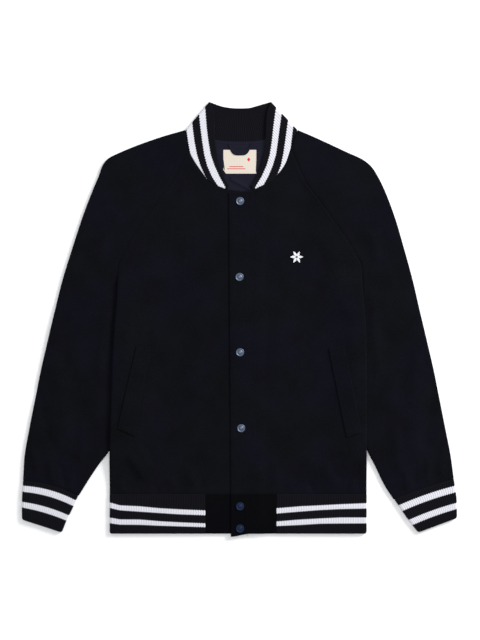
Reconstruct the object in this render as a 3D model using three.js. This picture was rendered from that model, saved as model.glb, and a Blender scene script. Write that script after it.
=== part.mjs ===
// Varsity jacket laid flat on its back, snaps closed. Millimetres, +Z up, collar towards +Y.
// Left and right are the wearer's, so the left side lies at +X.
import * as THREE from 'three';
import { mergeVertices } from 'three/addons/utils/BufferGeometryUtils.js';

// Walls, ribs and seams
const CLOTH = 2.0;
const RIB_WALL = 2.4;
const RIB_RELIEF = 0.7;
const RIB_PITCH = 4.6;
const RIBS_PER_PLAIN_COLUMN = 4;
const SEAM = 0.3;

// Heights of the layers above the floor, at the middle of each wall
const BACK_MID = CLOTH / 2;
const INNER_GAP = 2.0;
const FRONT_MID = CLOTH + INNER_GAP + CLOTH / 2;
const PLACKET_RISE = CLOTH + SEAM;
const SIDE_LIFT = 6.5;
const RIB_BACK_MID = RIB_WALL / 2;
const COLLAR_FRONT_MID = 5.3;
const COLLAR_EDGE_RISE = 0.4;

// Body
const UNDERARM_Y = 102;
const HEM_SEAM_Y = -323;
const HEM_BOTTOM_Y = -396;
const LIFT_FULL_TOP_Y = 54;
const LIFT_FULL_BOTTOM_Y = -241;
const LIFT_END_Y = -310;
const LIFT_STRIP = 17;
const LIFT_RAMP = 72;
const PLACKET_EDGE_X = { top: -20, bottom: -16 };
const PLACKET_HIDDEN_X = { top: 11, bottom: 15 };
const PLACKET_RAMP = { from: 34, to: 54 };
const HEM_TAB_OUTER_X = { right: -63, left: 68 };
const TAB_CORNER_DROP = 5.5;
const NECK_EASE = 0.4;
const RAGLAN_EASE = 0.2;
const CUFF_BOW = { left: 2.2, right: 5.5 };
const CUFF_BOW_ROWS = 0.25;

// Small pieces
const LINING = { wall: 0.8, halfWidth: 58, bottomY: 222 };
const LABEL = { wall: 0.5, left: -30, right: 31, top: 313, bottom: 269, cutCorner: 5, cutSlope: 1.3 };
const LOOP = { wall: 0.6, strip: 10, endStripShare: 0.45, halfSpan: 21, middleX: 0.7, topY: 322, lowY: 302.6 };
const WELT = { wall: 1.5 };
const SNAP = { radius: 7.5, rimHeight: 1.1, dome: 2.3, sides: 20 };
const SNAP_PLACES = [
  { x: 1, y: 218 }, { x: 0, y: 78 }, { x: 1, y: -61 }, { x: 3, y: -201 }, { x: 1, y: -345 }, { x: 1, y: -386 },
];

// Colours as they look in the photo
const NAVY_WOOL = { color: 0x121219, roughness: 0.95, metalness: 0 };
const NAVY_RIB = { color: 0x15151c, roughness: 0.9, metalness: 0 };
const NAVY_SATIN = { color: 0x1b1d2c, roughness: 0.45, metalness: 0 };
const CREAM_COTTON = { color: 0xe2dbd0, roughness: 0.8, metalness: 0 };
const PEWTER = { color: 0x5d6478, roughness: 0.35, metalness: 0.9 };
const NAVY_ENAMEL = { color: 0x1e2436, roughness: 0.35, metalness: 0.4 };

// Plan outlines of each side, as [x, y] points from the neck to the cuff or the hem
const SIDES = {
  left: {
    sign: 1,
    sleeveOuter: [
      [107, 350], [133, 339], [166, 324], [198, 309], [228, 295], [243, 283], [254, 267], [268, 239],
      [287, 189], [305, 128], [320, 73], [333, 17], [346, -38], [359, -94], [370, -149], [381, -205],
      [390, -251], [396, -295],
    ],
    raglan: [[95, 316], [106, 291], [123, 254], [151, 215], [180, 174], [203, 141], [226, 102]],
    raglanBack: [[66, 337], [88, 300], [118, 252], [150, 208], [184, 162], [208, 129], [226, 102]],
    sleeveInner: [
      [226, 102], [228, 54], [225, -1], [224, -57], [227, -149], [231, -214], [237, -242],
      [251, -270], [269, -307], [286, -333],
    ],
    bodySide: [[226, 102], [228, 54], [231, 17], [234, -29], [235, -149], [235, -242], [235, -323]],
    neck: [[23, 237], [34, 243], [56, 254], [73, 271], [84, 287], [92, 309], [99, 332], [107, 350]],
    collarEdge: [[19, 245], [31, 265], [40, 289], [46, 315], [48, 337], [49, 361], [51, 383], [58, 402]],
    cuffOuter: [[396, -295], [401, -330], [402, -367]],
    cuffInner: [[286, -333], [301, -355], [312, -371], [330, -394]],
    pocket: { top: [[164, -53], [193, -48]], bottom: [[197, -218], [226, -209]] },
  },
  right: {
    sign: -1,
    sleeveOuter: [
      [-99, 350], [-138, 339], [-182, 324], [-219, 309], [-244, 296], [-254, 282], [-260, 265], [-271, 239],
      [-290, 189], [-310, 128], [-327, 73], [-341, 17], [-354, -38], [-367, -94], [-378, -149], [-389, -205],
      [-397, -251], [-400, -298],
    ],
    raglan: [[-95, 316], [-106, 291], [-125, 254], [-154, 215], [-184, 174], [-206, 141], [-225, 102]],
    raglanBack: [[-66, 337], [-88, 300], [-118, 252], [-150, 208], [-184, 162], [-208, 129], [-225, 102]],
    sleeveInner: [
      [-225, 102], [-226, 54], [-223, -1], [-223, -57], [-228, -149], [-234, -214], [-241, -241],
      [-262, -270], [-280, -297], [-298, -326],
    ],
    bodySide: [[-225, 102], [-226, 54], [-230, -1], [-234, -57], [-237, -149], [-240, -242], [-240, -323]],
    neck: [[-20, 239], [-32, 243], [-55, 254], [-69, 271], [-84, 293], [-92, 309], [-97, 335], [-99, 350]],
    collarEdge: [
      [-19, 245], [-29, 263], [-38, 289], [-43, 315], [-46, 337], [-46, 361], [-48, 383], [-56, 402],
    ],
    cuffOuter: [[-400, -298], [-402, -335], [-402, -370]],
    cuffInner: [[-298, -326], [-310, -353], [-319, -371], [-328, -394]],
    pocket: { top: [[-190, -49], [-162, -51]], bottom: [[-225, -201], [-193, -216]] },
  },
};
const BACK_NECK_SEAM = [[-99, 350], [-73, 339], [-36, 330], [1, 328], [38, 330], [74, 339], [107, 350]];
const BACK_COLLAR_EDGE = [[-56, 402], [-34, 394], [-18, 391], [0, 390], [19, 391], [34, 395], [58, 402]];

// Soft folds of the upper layers: a ridge from (x0, y0) to (x1, y1) with its half width and height
const FOLDS = [
  { x0: -352, y0: 40, x1: -316, y1: -265, half: 16, height: 1.6 },
  { x0: -300, y0: 120, x1: -246, y1: -40, half: 20, height: 1.8 },
  { x0: 330, y0: 10, x1: 318, y1: -260, half: 16, height: 1.6 },
  { x0: 292, y0: 150, x1: 252, y1: -10, half: 20, height: 1.8 },
  { x0: -196, y0: -232, x1: -150, y1: -312, half: 16, height: 1.5 },
  { x0: 100, y0: -236, x1: 172, y1: -312, half: 16, height: 1.5 },
  { x0: -120, y0: 190, x1: -196, y1: 84, half: 22, height: 1.5 },
  { x0: 128, y0: 186, x1: 192, y1: 84, half: 22, height: 1.5 },
  { x0: -250, y0: 250, x1: -215, y1: 150, half: 20, height: 1.4 },
  { x0: 246, y0: 246, x1: 214, y1: 150, half: 20, height: 1.4 },
];

const mix = (a, b, t) => a + (b - a) * t;
const clamp01 = value => Math.min(1, Math.max(0, value));
const smooth = value => {
  const t = clamp01(value);
  return t * t * (3 - 2 * t);
};
const steps = (from, to, count) => Array.from({ length: count + 1 }, (_, i) => mix(from, to, i / count));

const FOLD_INSET = (FRONT_MID - BACK_MID) / 2 + CLOTH / 2;
const SEAM_TURN = 90 - 4.5;
const UNDERARM_BEND_SHARE = 0.1;
const UNDERARM_OUTER_SHARE = 0.355;
const COLLAR_FOLD_SHARE = { front: 0.022, backSeam: 0.016, backEdge: 0.028 };
const CORNER_SHARE = 0.3;
const NECK_SHARE = 0.4;
const FRONT_COLUMNS = [0, 0.07, 0.14, 0.2, 0.27, 0.37, 0.48, 0.58, 0.65, 0.72, 0.78, 0.84, 0.89, 0.945, 1];

// Smooth plan curve through a table of points, read by its share of length
function curve(points) {
  const line = new THREE.CatmullRomCurve3(points.map(([x, y]) => new THREE.Vector3(x, y, 0)), false, 'centripetal');
  line.arcLengthDivisions = 400;
  return share => {
    const at = line.getPointAt(clamp01(share));
    return [at.x, at.y];
  };
}

const OUTLINES = Object.fromEntries(Object.entries(SIDES).map(([name, side]) => [name, {
  ...side,
  sleeveOuter: curve(side.sleeveOuter),
  raglan: curve(side.raglan),
  sleeveInner: curve(side.sleeveInner),
  bodySide: curve(side.bodySide),
  neck: curve(side.neck),
  collarEdge: curve(side.collarEdge),
  cuffOuter: curve(side.cuffOuter),
  cuffInner: curve(side.cuffInner),
}]));

const BACK_RAGLAN = { left: curve(SIDES.left.raglanBack), right: curve(SIDES.right.raglanBack) };
const BACK_NECK_FULL = curve(BACK_NECK_SEAM);
const BACK_COLLAR_TOP = curve(BACK_COLLAR_EDGE);

// Share of a curve at which it comes nearest to a point
function nearestShare(line, [px, py]) {
  const gap = share => {
    const [x, y] = line(share);
    return Math.hypot(x - px, y - py);
  };
  return steps(0, 1, 800).reduce((best, share) => (gap(share) < gap(best) ? share : best), 0);
}

// How far the back neck seam dips below a straight line between the two back raglan seams
function backNeckDip(x) {
  const [endX, endY] = SIDES.left.raglanBack[0];
  const reach = Math.max(-endX, Math.min(endX, x));
  let low = 0;
  let high = 1;
  for (let turn = 0; turn < 24; turn += 1) {
    const middle = (low + high) / 2;
    if (BACK_NECK_FULL(middle)[0] < reach) low = middle;
    else high = middle;
  }
  return endY - BACK_NECK_FULL(low)[1];
}

// The back neck seam over each shoulder, from the raglan seam (0) to the side fold (1)
const BACK_NECK = Object.fromEntries(['left', 'right'].map(side => {
  const start = nearestShare(BACK_NECK_FULL, SIDES[side].raglanBack[0]);
  const end = side === 'left' ? 1 : 0;
  return [side, share => BACK_NECK_FULL(mix(start, end, share))];
}));

// Distance from the centre line to the body's side at a height
function bodySideX(side, y) {
  let low = 0;
  let high = 1;
  for (let turn = 0; turn < 24; turn += 1) {
    const middle = (low + high) / 2;
    if (OUTLINES[side].bodySide(middle)[1] > y) low = middle;
    else high = middle;
  }
  return Math.abs(OUTLINES[side].bodySide(low)[0]);
}

// The body's sides lie over the sleeves' inner strips, so they are raised there
function sideLift(x, y) {
  const along = Math.min(
    smooth((UNDERARM_Y - y) / (UNDERARM_Y - LIFT_FULL_TOP_Y)),
    smooth((y - LIFT_END_Y) / (LIFT_FULL_BOTTOM_Y - LIFT_END_Y)),
  );
  if (along === 0) return 0;
  const inset = bodySideX(x > 0 ? 'left' : 'right', y) - Math.abs(x);
  return SIDE_LIFT * along * (1 - smooth((inset - LIFT_STRIP) / LIFT_RAMP));
}

function foldHeight(x, y) {
  return FOLDS.reduce((sum, fold) => {
    const dx = fold.x1 - fold.x0;
    const dy = fold.y1 - fold.y0;
    const length = Math.hypot(dx, dy);
    const along = ((x - fold.x0) * dx + (y - fold.y0) * dy) / length;
    const off = ((x - fold.x0) * dy - (y - fold.y0) * dx) / length / fold.half;
    const ends = smooth(along / fold.half / 2) * smooth((length - along) / fold.half / 2);
    return sum + fold.height * ends * Math.exp(-off * off);
  }, 0);
}

const backHeight = (x, y) => BACK_MID + sideLift(x, y);
const bodyFrontHeight = (x, y) => FRONT_MID + sideLift(x, y) + foldHeight(x, y);
const placketStep = x => PLACKET_RISE * (1 - smooth((x - PLACKET_RAMP.from) / (PLACKET_RAMP.to - PLACKET_RAMP.from)));
const overFrontHeight = (x, y) => bodyFrontHeight(x, y) + placketStep(x);

// Closed wall between two faces of one sheet. Each face has its own list of across values, and
// closesAt is where a tube's list comes round to its start.
function wallGeometry({ place, thickness, upper, under, rows, relief = () => 0, closesAt = null }) {
  const points = [];
  const triangles = [];
  const joined = closesAt !== null;
  const face = (values, sign) => rows.map(row => values.map(across => {
    const { at, out } = place(across, row);
    const reach = sign * (thickness / 2 + relief(across, row, sign));
    points.push(at[0] + out[0] * reach, at[1] + out[1] * reach, at[2] + out[2] * reach);
    return points.length / 3 - 1;
  }));
  const faces = [{ values: upper, grid: face(upper, 1), sign: 1 }, { values: under, grid: face(under, -1), sign: -1 }];
  const add = (a, b, c, sign) => triangles.push(...(sign > 0 ? [a, b, c] : [a, c, b]));
  for (const { values, grid, sign } of faces) {
    for (let r = 0; r + 1 < rows.length; r += 1) {
      const last = joined ? values.length : values.length - 1;
      for (let c = 0; c < last; c += 1) {
        const next = (c + 1) % values.length;
        add(grid[r][c], grid[r + 1][c], grid[r + 1][next], sign);
        add(grid[r][c], grid[r + 1][next], grid[r][next], sign);
      }
    }
  }
  // Joins two rows of unlike counts by always stepping along the one that lags
  const zip = (r, sign) => {
    const [a, b] = faces.map(({ values, grid }) => ({
      ids: joined ? [...grid[r], grid[r][0]] : grid[r],
      at: joined ? [...values, closesAt] : values,
    }));
    let i = 0;
    let j = 0;
    while (i + 1 < a.ids.length || j + 1 < b.ids.length) {
      const stepUpper = j + 1 >= b.ids.length || (i + 1 < a.ids.length && a.at[i + 1] <= b.at[j + 1]);
      if (stepUpper) {
        add(a.ids[i], a.ids[i + 1], b.ids[j], sign);
        i += 1;
      } else {
        add(a.ids[i], b.ids[j + 1], b.ids[j], sign);
        j += 1;
      }
    }
  };
  zip(0, 1);
  zip(rows.length - 1, -1);
  if (!joined) {
    const [a, b] = faces.map(({ grid }) => grid);
    const ends = [[0, -1], [-1, 1]];
    for (const [column, sign] of ends) {
      for (let r = 0; r + 1 < rows.length; r += 1) {
        const [p, q, s, t] = [a[r].at(column), a[r + 1].at(column), b[r + 1].at(column), b[r].at(column)];
        add(p, q, s, sign);
        add(p, s, t, sign);
      }
    }
  }
  const geometry = new THREE.BufferGeometry();
  geometry.setAttribute('position', new THREE.Float32BufferAttribute(points, 3));
  geometry.setIndex(triangles);
  return facingOut(geometry);
}

// Turns a closed shell so that its faces look outward
function facingOut(geometry) {
  const at = geometry.getAttribute('position');
  const ids = Array.from(geometry.getIndex().array);
  const [a, b, c] = [new THREE.Vector3(), new THREE.Vector3(), new THREE.Vector3()];
  let volume = 0;
  for (let k = 0; k < ids.length; k += 3) {
    a.fromBufferAttribute(at, ids[k]);
    b.fromBufferAttribute(at, ids[k + 1]);
    c.fromBufferAttribute(at, ids[k + 2]);
    volume += a.dot(b.clone().cross(c));
  }
  if (volume < 0) {
    for (let k = 0; k < ids.length; k += 3) [ids[k + 1], ids[k + 2]] = [ids[k + 2], ids[k + 1]];
    geometry.setIndex(ids);
  }
  geometry.computeVertexNormals();
  return geometry;
}

function piece(name, finish, geometry) {
  const mesh = new THREE.Mesh(geometry, new THREE.MeshStandardMaterial({ ...finish, flatShading: true }));
  mesh.name = name;
  return mesh;
}

const between = ([ax, ay], [bx, by], t) => [mix(ax, bx, t), mix(ay, by, t)];
const towards = (from, to) => {
  const length = Math.hypot(to[0] - from[0], to[1] - from[1]);
  return [(to[0] - from[0]) / length, (to[1] - from[1]) / length];
};
const moved = (point, way, distance) => [point[0] + way[0] * distance, point[1] + way[1] * distance];

// A point beside a curve, to the left of its way for a positive distance
function beside(line, share, distance) {
  const way = towards(line(share - 0.002), line(share + 0.002));
  return moved(line(share), [-way[1], way[0]], distance);
}

// The cloth's turn at a folded side. turn is 0 degrees on top and 180 degrees below.
function turned({ edge, way, topZ, bottomZ, thickness, turn }) {
  const angle = turn * Math.PI / 180;
  const radius = (topZ - bottomZ) / 2;
  const inset = radius * (1 - Math.sin(angle)) + thickness / 2;
  const plan = moved(edge, way, -inset);
  return {
    at: [plan[0], plan[1], (topZ + bottomZ) / 2 + radius * Math.cos(angle)],
    out: [way[0] * Math.sin(angle), way[1] * Math.sin(angle), Math.cos(angle)],
  };
}

// One layer's edge at a side seam. share runs out from the flat cloth, and bend is 0 where it stays flat.
function seamEdge({ edge, way, topZ, bottomZ, share, bend, layer }) {
  const angle = share * SEAM_TURN * Math.PI / 180;
  const radius = (topZ - bottomZ) / 2;
  const lean = angle * bend;
  const flatInset = FOLD_INSET * (1 - share);
  const bentInset = radius * (1 - Math.sin(angle)) + CLOTH / 2;
  const plan = moved(edge, way, -mix(flatInset, bentInset, Math.sin(bend * Math.PI / 2)));
  const drop = radius * (1 - Math.cos(angle)) * bend;
  return {
    at: [plan[0], plan[1], layer === 'top' ? topZ - drop : bottomZ + drop],
    out: [way[0] * Math.sin(lean), way[1] * Math.sin(lean), layer === 'top' ? Math.cos(lean) : -Math.cos(lean)],
  };
}

const flatPoint = ([x, y], z, facing) => ({ at: [x, y, z], out: [0, 0, facing] });
const nearUnderarm = share => 1 - smooth(share / UNDERARM_BEND_SHARE);

// Rows of the body from the hem seam (0) to the underarm (1) and on to the neck (2)
const SIDE_ROWS = [-323, -306, -289, -268, -241, -205, -165, -125, -85, -45, -8, 26, 54, 70, 86]
  .map(y => (y - HEM_SEAM_Y) / (UNDERARM_Y - HEM_SEAM_Y));
const BODY_ROWS = [
  ...SIDE_ROWS,
  ...[0, 0.05, 0.1, 0.2, 0.3, 0.35, 0.4, 0.435, 0.47, 0.54, 0.61, 0.68, 0.75, 0.82, 0.88, 0.94, 1].map(share => 1 + share),
];
const BACK_ROWS = [...SIDE_ROWS, ...[0, 0.05, 0.1, 0.25, 0.4, 0.55, 0.7, 0.85, 1].map(share => 1 + share)];
const rowHeight = row => mix(HEM_SEAM_Y + SEAM / 2, UNDERARM_Y, row);

// Share of the neck curve at which the raglan seam meets it
const neckShareAtRaglan = side => nearestShare(OUTLINES[side].neck, SIDES[side].raglan[0]);

function frontPlace(side) {
  const { sign, neck, raglan } = OUTLINES[side];
  const over = side === 'left';
  const edgeX = over ? PLACKET_EDGE_X : PLACKET_HIDDEN_X;
  const neckStart = SIDES[side].neck[0];
  const corner = [edgeX.top, neckStart[1] - 3];
  const neckEnd = neckShareAtRaglan(side);
  const height = over ? overFrontHeight : bodyFrontHeight;
  const innerEdge = row => {
    if (row <= 1) return [mix(edgeX.bottom, edgeX.top, row * 0.8), rowHeight(row)];
    const share = row - 1;
    if (share <= CORNER_SHARE) {
      const low = [mix(edgeX.bottom, edgeX.top, 0.8), UNDERARM_Y];
      return between(low, corner, share / CORNER_SHARE);
    }
    const toNeck = (share - CORNER_SHARE) / (NECK_SHARE - CORNER_SHARE);
    if (toNeck <= 1) return between(corner, beside(neck, 0.01, -sign * NECK_EASE), toNeck);
    const along = (share - NECK_SHARE) / (1 - NECK_SHARE);
    return beside(neck, mix(0.01, neckEnd - 0.03, along), -sign * NECK_EASE);
  };
  return (across, row) => {
    const bend = row <= 1 ? 1 : nearUnderarm(row - 1);
    const edge = row <= 1
      ? [sign * (bodySideX(side, rowHeight(row)) - SEAM / 2), rowHeight(row)]
      : beside(raglan, 1 - (row - 1) * 0.985, -sign * RAGLAN_EASE);
    const inner = innerEdge(row);
    const way = row <= 1 ? [sign, 0] : towards(inner, edge);
    if (across <= 1) {
      const plan = between(inner, moved(edge, way, -FOLD_INSET), across);
      return flatPoint(plan, height(...plan), 1);
    }
    const topZ = height(...moved(edge, way, -FOLD_INSET));
    const bottomZ = topZ - FRONT_MID + BACK_MID;
    return seamEdge({ edge, way, topZ, bottomZ, share: across - 1, bend, layer: 'top' });
  };
}

// The back lies on the floor, with its outer face down
function backPlace(across, row) {
  const edgeOf = side => (row <= 1
    ? [SIDES[side].sign * (bodySideX(side, rowHeight(row)) - SEAM / 2), rowHeight(row)]
    : beside(BACK_RAGLAN[side], mix(1, 0.01, row - 1), -SIDES[side].sign * RAGLAN_EASE));
  const [right, left] = [edgeOf('right'), edgeOf('left')];
  const bend = row <= 1 ? 1 : nearUnderarm(row - 1);
  const way = towards(right, left);
  const toNeckLine = ([x, y]) => [x, y - (backNeckDip(x) + NECK_EASE) * smooth((row - 1.6) / 0.4)];
  if (across >= 0 && across <= 1) {
    const plan = toNeckLine(between(moved(right, way, FOLD_INSET), moved(left, way, -FOLD_INSET), across));
    return flatPoint(plan, backHeight(...plan), -1);
  }
  const edge = across < 0 ? right : left;
  const outward = across < 0 ? [-way[0], -way[1]] : way;
  const bottomZ = backHeight(...moved(edge, outward, -FOLD_INSET));
  const topZ = bottomZ + FRONT_MID - BACK_MID;
  const share = across < 0 ? -across : across - 1;
  return seamEdge({ edge: toNeckLine(edge), way: outward, topZ, bottomZ, share, bend, layer: 'bottom' });
}

// How far the seam between sleeve and cuff bows up the sleeve at a share of its width
function cuffBow(side, way, share, weight) {
  const sign = SIDES[side].sign;
  const size = CUFF_BOW[side] * 4 * share * (1 - share) * weight;
  return [-sign * way[1] * size, sign * way[0] * size];
}

// Rows of a sleeve from the neck (0) to the underarm (1) and on to the cuff (2)
const SLEEVE_ROWS = [
  ...[0, 0.08, 0.16, 0.24, 0.32, 0.4, 0.46, 0.52, 0.6, 0.7, 0.8, 0.9, 0.95],
  ...[1, 1.06, 1.14, 1.24, 1.36, 1.48, 1.6, 1.7, 1.8, 1.9, 2],
];

function sleevePlace(side) {
  const { sign, sleeveOuter, raglan, sleeveInner, neck } = OUTLINES[side];
  const neckStart = neckShareAtRaglan(side);
  const seamShare = SEAM / 250;
  const outerAt = row => sleeveOuter(row <= 1
    ? mix(0.001, UNDERARM_OUTER_SHARE, row)
    : mix(UNDERARM_OUTER_SHARE, 1 - seamShare, row - 1));
  const innerAt = (row, seam) => (row < 1
    ? beside(seam, mix(0.003, 1, row), sign * RAGLAN_EASE)
    : beside(sleeveInner, mix(0, 1 - seamShare, row - 1), sign * RAGLAN_EASE));
  // The neck end follows the curved neck seam, not a straight row
  const neckShift = (line, from, to, across, row) => {
    const weight = 1 - smooth(row / 0.3);
    const straight = between(line(from), line(to), across);
    const bowed = line(mix(from, to, across));
    return [(bowed[0] - straight[0]) * weight, (bowed[1] - straight[1]) * weight];
  };
  return (across, row) => {
    const top = across < 1.5;
    const outer = outerAt(row);
    const inner = innerAt(row, top ? raglan : BACK_RAGLAN[side]);
    const way = towards(inner, outer);
    const back = [-way[0], -way[1]];
    const bend = row >= 1 ? 1 : nearUnderarm(1 - row);
    const heightAt = point => FRONT_MID + foldHeight(...point) * (row >= 1 ? smooth(across / 0.3) : 1);
    const innerFold = moved(inner, back, -FOLD_INSET);
    const outerFold = moved(outer, way, -FOLD_INSET);
    const bowWeight = smooth((row - 2 + CUFF_BOW_ROWS) / CUFF_BOW_ROWS);
    if (across >= 0 && across <= 1) {
      const plan = between(innerFold, outerFold, across);
      const shift = neckShift(neck, neckStart, 1, across, row);
      const bow = cuffBow(side, way, across, bowWeight);
      return flatPoint([plan[0] + shift[0] + bow[0], plan[1] + shift[1] + bow[1]], heightAt(plan), 1);
    }
    if (across > 1 && across < 2) {
      const topZ = FRONT_MID + foldHeight(...outerFold);
      return turned({ edge: outer, way, topZ, bottomZ: BACK_MID, thickness: CLOTH, turn: (across - 1) * 180 });
    }
    if (across >= 2 && across <= 3) {
      const plan = between(outerFold, innerFold, across - 2);
      const shift = neckShift(BACK_NECK[side], 1, 0, across - 2, row);
      const bow = cuffBow(side, way, across - 2, bowWeight);
      return flatPoint([plan[0] + shift[0] + bow[0], plan[1] + shift[1] + bow[1]], BACK_MID, -1);
    }
    const layer = across < 0 ? 'top' : 'bottom';
    const share = across < 0 ? -across : across - 3;
    const topZ = across < 0 && row < 1 ? heightAt(innerFold) : FRONT_MID;
    return seamEdge({ edge: inner, way: back, topZ, bottomZ: BACK_MID, share, bend, layer });
  };
}

const ribCount = width => Math.round(width / RIB_PITCH);
const ribWave = (share, count) => RIB_RELIEF * (1 - Math.cos(2 * Math.PI * count * share)) / 2;
const ribColumns = (from, count) => steps(from, from + 1, 2 * count);

// Flattened tube of rib at a wrist. Its ribs stand on the upper face only.
function cuffGeometry(side) {
  const { cuffOuter, cuffInner } = OUTLINES[side];
  const [topOuter, topInner] = [SIDES[side].cuffOuter[0], SIDES[side].cuffInner[0]];
  const count = ribCount(Math.hypot(topOuter[0] - topInner[0], topOuter[1] - topInner[1]));
  const place = (across, row) => {
    const share = mix(SEAM / 75, 1, row);
    const [outer, inner] = [cuffOuter(share), cuffInner(share)];
    const way = towards(inner, outer);
    const inset = (FRONT_MID - RIB_BACK_MID) / 2 + RIB_WALL / 2;
    const ends = [moved(inner, way, inset), moved(outer, way, -inset)];
    const bowed = (from, to, along) => {
      const bow = cuffBow(side, way, along, 1 - row);
      return moved(between(from, to, along), bow, 1);
    };
    if (across <= 1) return flatPoint(bowed(ends[0], ends[1], across), FRONT_MID, 1);
    if (across >= 2 && across <= 3) return flatPoint(bowed(ends[1], ends[0], across - 2), RIB_BACK_MID, -1);
    const atOuter = across < 2;
    return turned({
      edge: atOuter ? outer : inner,
      way: atOuter ? way : [-way[0], -way[1]],
      topZ: FRONT_MID,
      bottomZ: RIB_BACK_MID,
      thickness: RIB_WALL,
      turn: atOuter ? (across - 1) * 180 : (4 - across) * 180,
    });
  };
  const turns = [1.25, 1.5, 1.75, 2, 2.33, 2.66, 3, 3.25, 3.5, 3.75];
  return wallGeometry({
    place,
    thickness: RIB_WALL,
    upper: [...ribColumns(0, count), ...turns],
    under: [...steps(0, 1, Math.ceil(count / RIBS_PER_PLAIN_COLUMN)), ...turns],
    rows: steps(0, 1, 4),
    relief: (across, row, sign) => (sign > 0 && across <= 1 ? ribWave(across, count) : 0),
    closesAt: 4,
  });
}

// The hem is one strip from tab to tab: over the right front, under the back and over the left front
function hemGeometry() {
  const width = side => bodySideX(side, HEM_SEAM_Y) - Math.abs(HEM_TAB_OUTER_X[side]);
  const counts = { right: ribCount(width('right')), left: ribCount(width('left')) };
  const inset = (FRONT_MID - RIB_BACK_MID) / 2 + RIB_WALL / 2;
  const place = (across, row) => {
    const y = mix(HEM_SEAM_Y - SEAM / 2, HEM_BOTTOM_Y, row);
    const rightEdge = -bodySideX('right', HEM_SEAM_Y);
    const leftEdge = bodySideX('left', HEM_SEAM_Y);
    if (across <= 1) {
      const x = mix(HEM_TAB_OUTER_X.right - SEAM / 2, rightEdge + inset, across);
      return flatPoint([x, y], FRONT_MID, 1);
    }
    if (across >= 4) {
      const x = mix(leftEdge - inset, HEM_TAB_OUTER_X.left + SEAM / 2, across - 4);
      return flatPoint([x, y], FRONT_MID, 1);
    }
    if (across >= 2 && across <= 3) {
      return flatPoint([mix(rightEdge + inset, leftEdge - inset, across - 2), y], RIB_BACK_MID, -1);
    }
    const atRight = across < 2;
    return turned({
      edge: [atRight ? rightEdge : leftEdge, y],
      way: [atRight ? -1 : 1, 0],
      topZ: FRONT_MID,
      bottomZ: RIB_BACK_MID,
      thickness: RIB_WALL,
      turn: atRight ? (across - 1) * 180 : (4 - across) * 180,
    });
  };
  const middle = [1.25, 1.5, 1.75, ...steps(2, 3, 8), 3.25, 3.5, 3.75];
  return wallGeometry({
    place,
    thickness: RIB_WALL,
    upper: [...ribColumns(0, counts.right), ...middle, ...ribColumns(4, counts.left)],
    under: [
      ...steps(0, 1, Math.ceil(counts.right / RIBS_PER_PLAIN_COLUMN)),
      ...middle,
      ...steps(4, 5, Math.ceil(counts.left / RIBS_PER_PLAIN_COLUMN)),
    ],
    rows: steps(0, 1, 3),
    relief: (across, row, sign) => {
      if (sign < 0) return 0;
      if (across <= 1) return ribWave(across, counts.right);
      return across >= 4 ? ribWave(across - 4, counts.left) : 0;
    },
  });
}

// One rib band: right front, fold, back with its inner face up, fold, left front
function collarGeometry() {
  const frontCount = ribCount(150);
  const backCount = ribCount(205);
  const topZ = row => COLLAR_FRONT_MID + COLLAR_EDGE_RISE * row;
  const frontPoint = (side, share, row) => {
    const { sign, neck, collarEdge } = OUTLINES[side];
    const along = mix(0.012, 1 - COLLAR_FOLD_SHARE.front, share);
    return between(beside(neck, along, sign * SEAM / 2), collarEdge(along), row);
  };
  const backPoint = (share, row) => {
    const { backSeam, backEdge } = COLLAR_FOLD_SHARE;
    const low = BACK_NECK_FULL(mix(backSeam, 1 - backSeam, share));
    const high = BACK_COLLAR_TOP(mix(backEdge, 1 - backEdge, share));
    return between([low[0], low[1] + SEAM], high, row);
  };
  const foldOf = side => {
    const { sign, neck, collarEdge } = OUTLINES[side];
    const line = towards(neck(1), collarEdge(1));
    const way = [line[1] * sign, -line[0] * sign];
    return { low: moved(neck(1), line, 2 * SEAM), high: collarEdge(1), way };
  };
  const folds = { right: foldOf('right'), left: foldOf('left') };
  const foldPoint = (side, share, row) => {
    const { low, high, way } = folds[side];
    const edge = moved(between(low, high, row), way, -RIB_WALL / 2);
    const onFront = share < 0.5;
    const from = onFront ? frontPoint(side, 1, row) : backPoint(side === 'right' ? 0 : 1, row);
    const angle = share * Math.PI;
    const [x, y] = between(edge, from, 1 - Math.sin(angle));
    const lean = between(towards(from, edge), way, Math.sin(angle));
    const size = Math.hypot(...lean);
    const radius = (topZ(row) - RIB_BACK_MID) / 2;
    return {
      at: [x, y, RIB_BACK_MID + radius * (1 + Math.cos(angle))],
      out: [lean[0] / size * Math.sin(angle), lean[1] / size * Math.sin(angle), Math.cos(angle)],
    };
  };
  const place = (across, row) => {
    if (across <= 1) return flatPoint(frontPoint('right', across, row), topZ(row), 1);
    if (across >= 4) return flatPoint(frontPoint('left', 5 - across, row), topZ(row), 1);
    if (across >= 2 && across <= 3) return flatPoint(backPoint(across - 2, row), RIB_BACK_MID, -1);
    return across < 2 ? foldPoint('right', across - 1, row) : foldPoint('left', 4 - across, row);
  };
  const turns = { right: [1.25, 1.5, 1.75], left: [3.25, 3.5, 3.75] };
  return wallGeometry({
    place,
    thickness: RIB_WALL,
    upper: [
      ...ribColumns(0, frontCount), ...turns.right, ...steps(2, 3, 10), ...turns.left,
      ...ribColumns(4, frontCount),
    ],
    under: [...steps(0, 1, 10), ...turns.right, ...ribColumns(2, backCount), ...turns.left, ...steps(4, 5, 10)],
    rows: steps(0, 1, 4),
    relief: (across, row, sign) => {
      if (sign < 0) return across >= 2 && across <= 3 ? ribWave(across - 2, backCount) : 0;
      if (across <= 1) return ribWave(across, frontCount);
      return across >= 4 ? ribWave(across - 4, frontCount) : 0;
    },
  });
}

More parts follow.
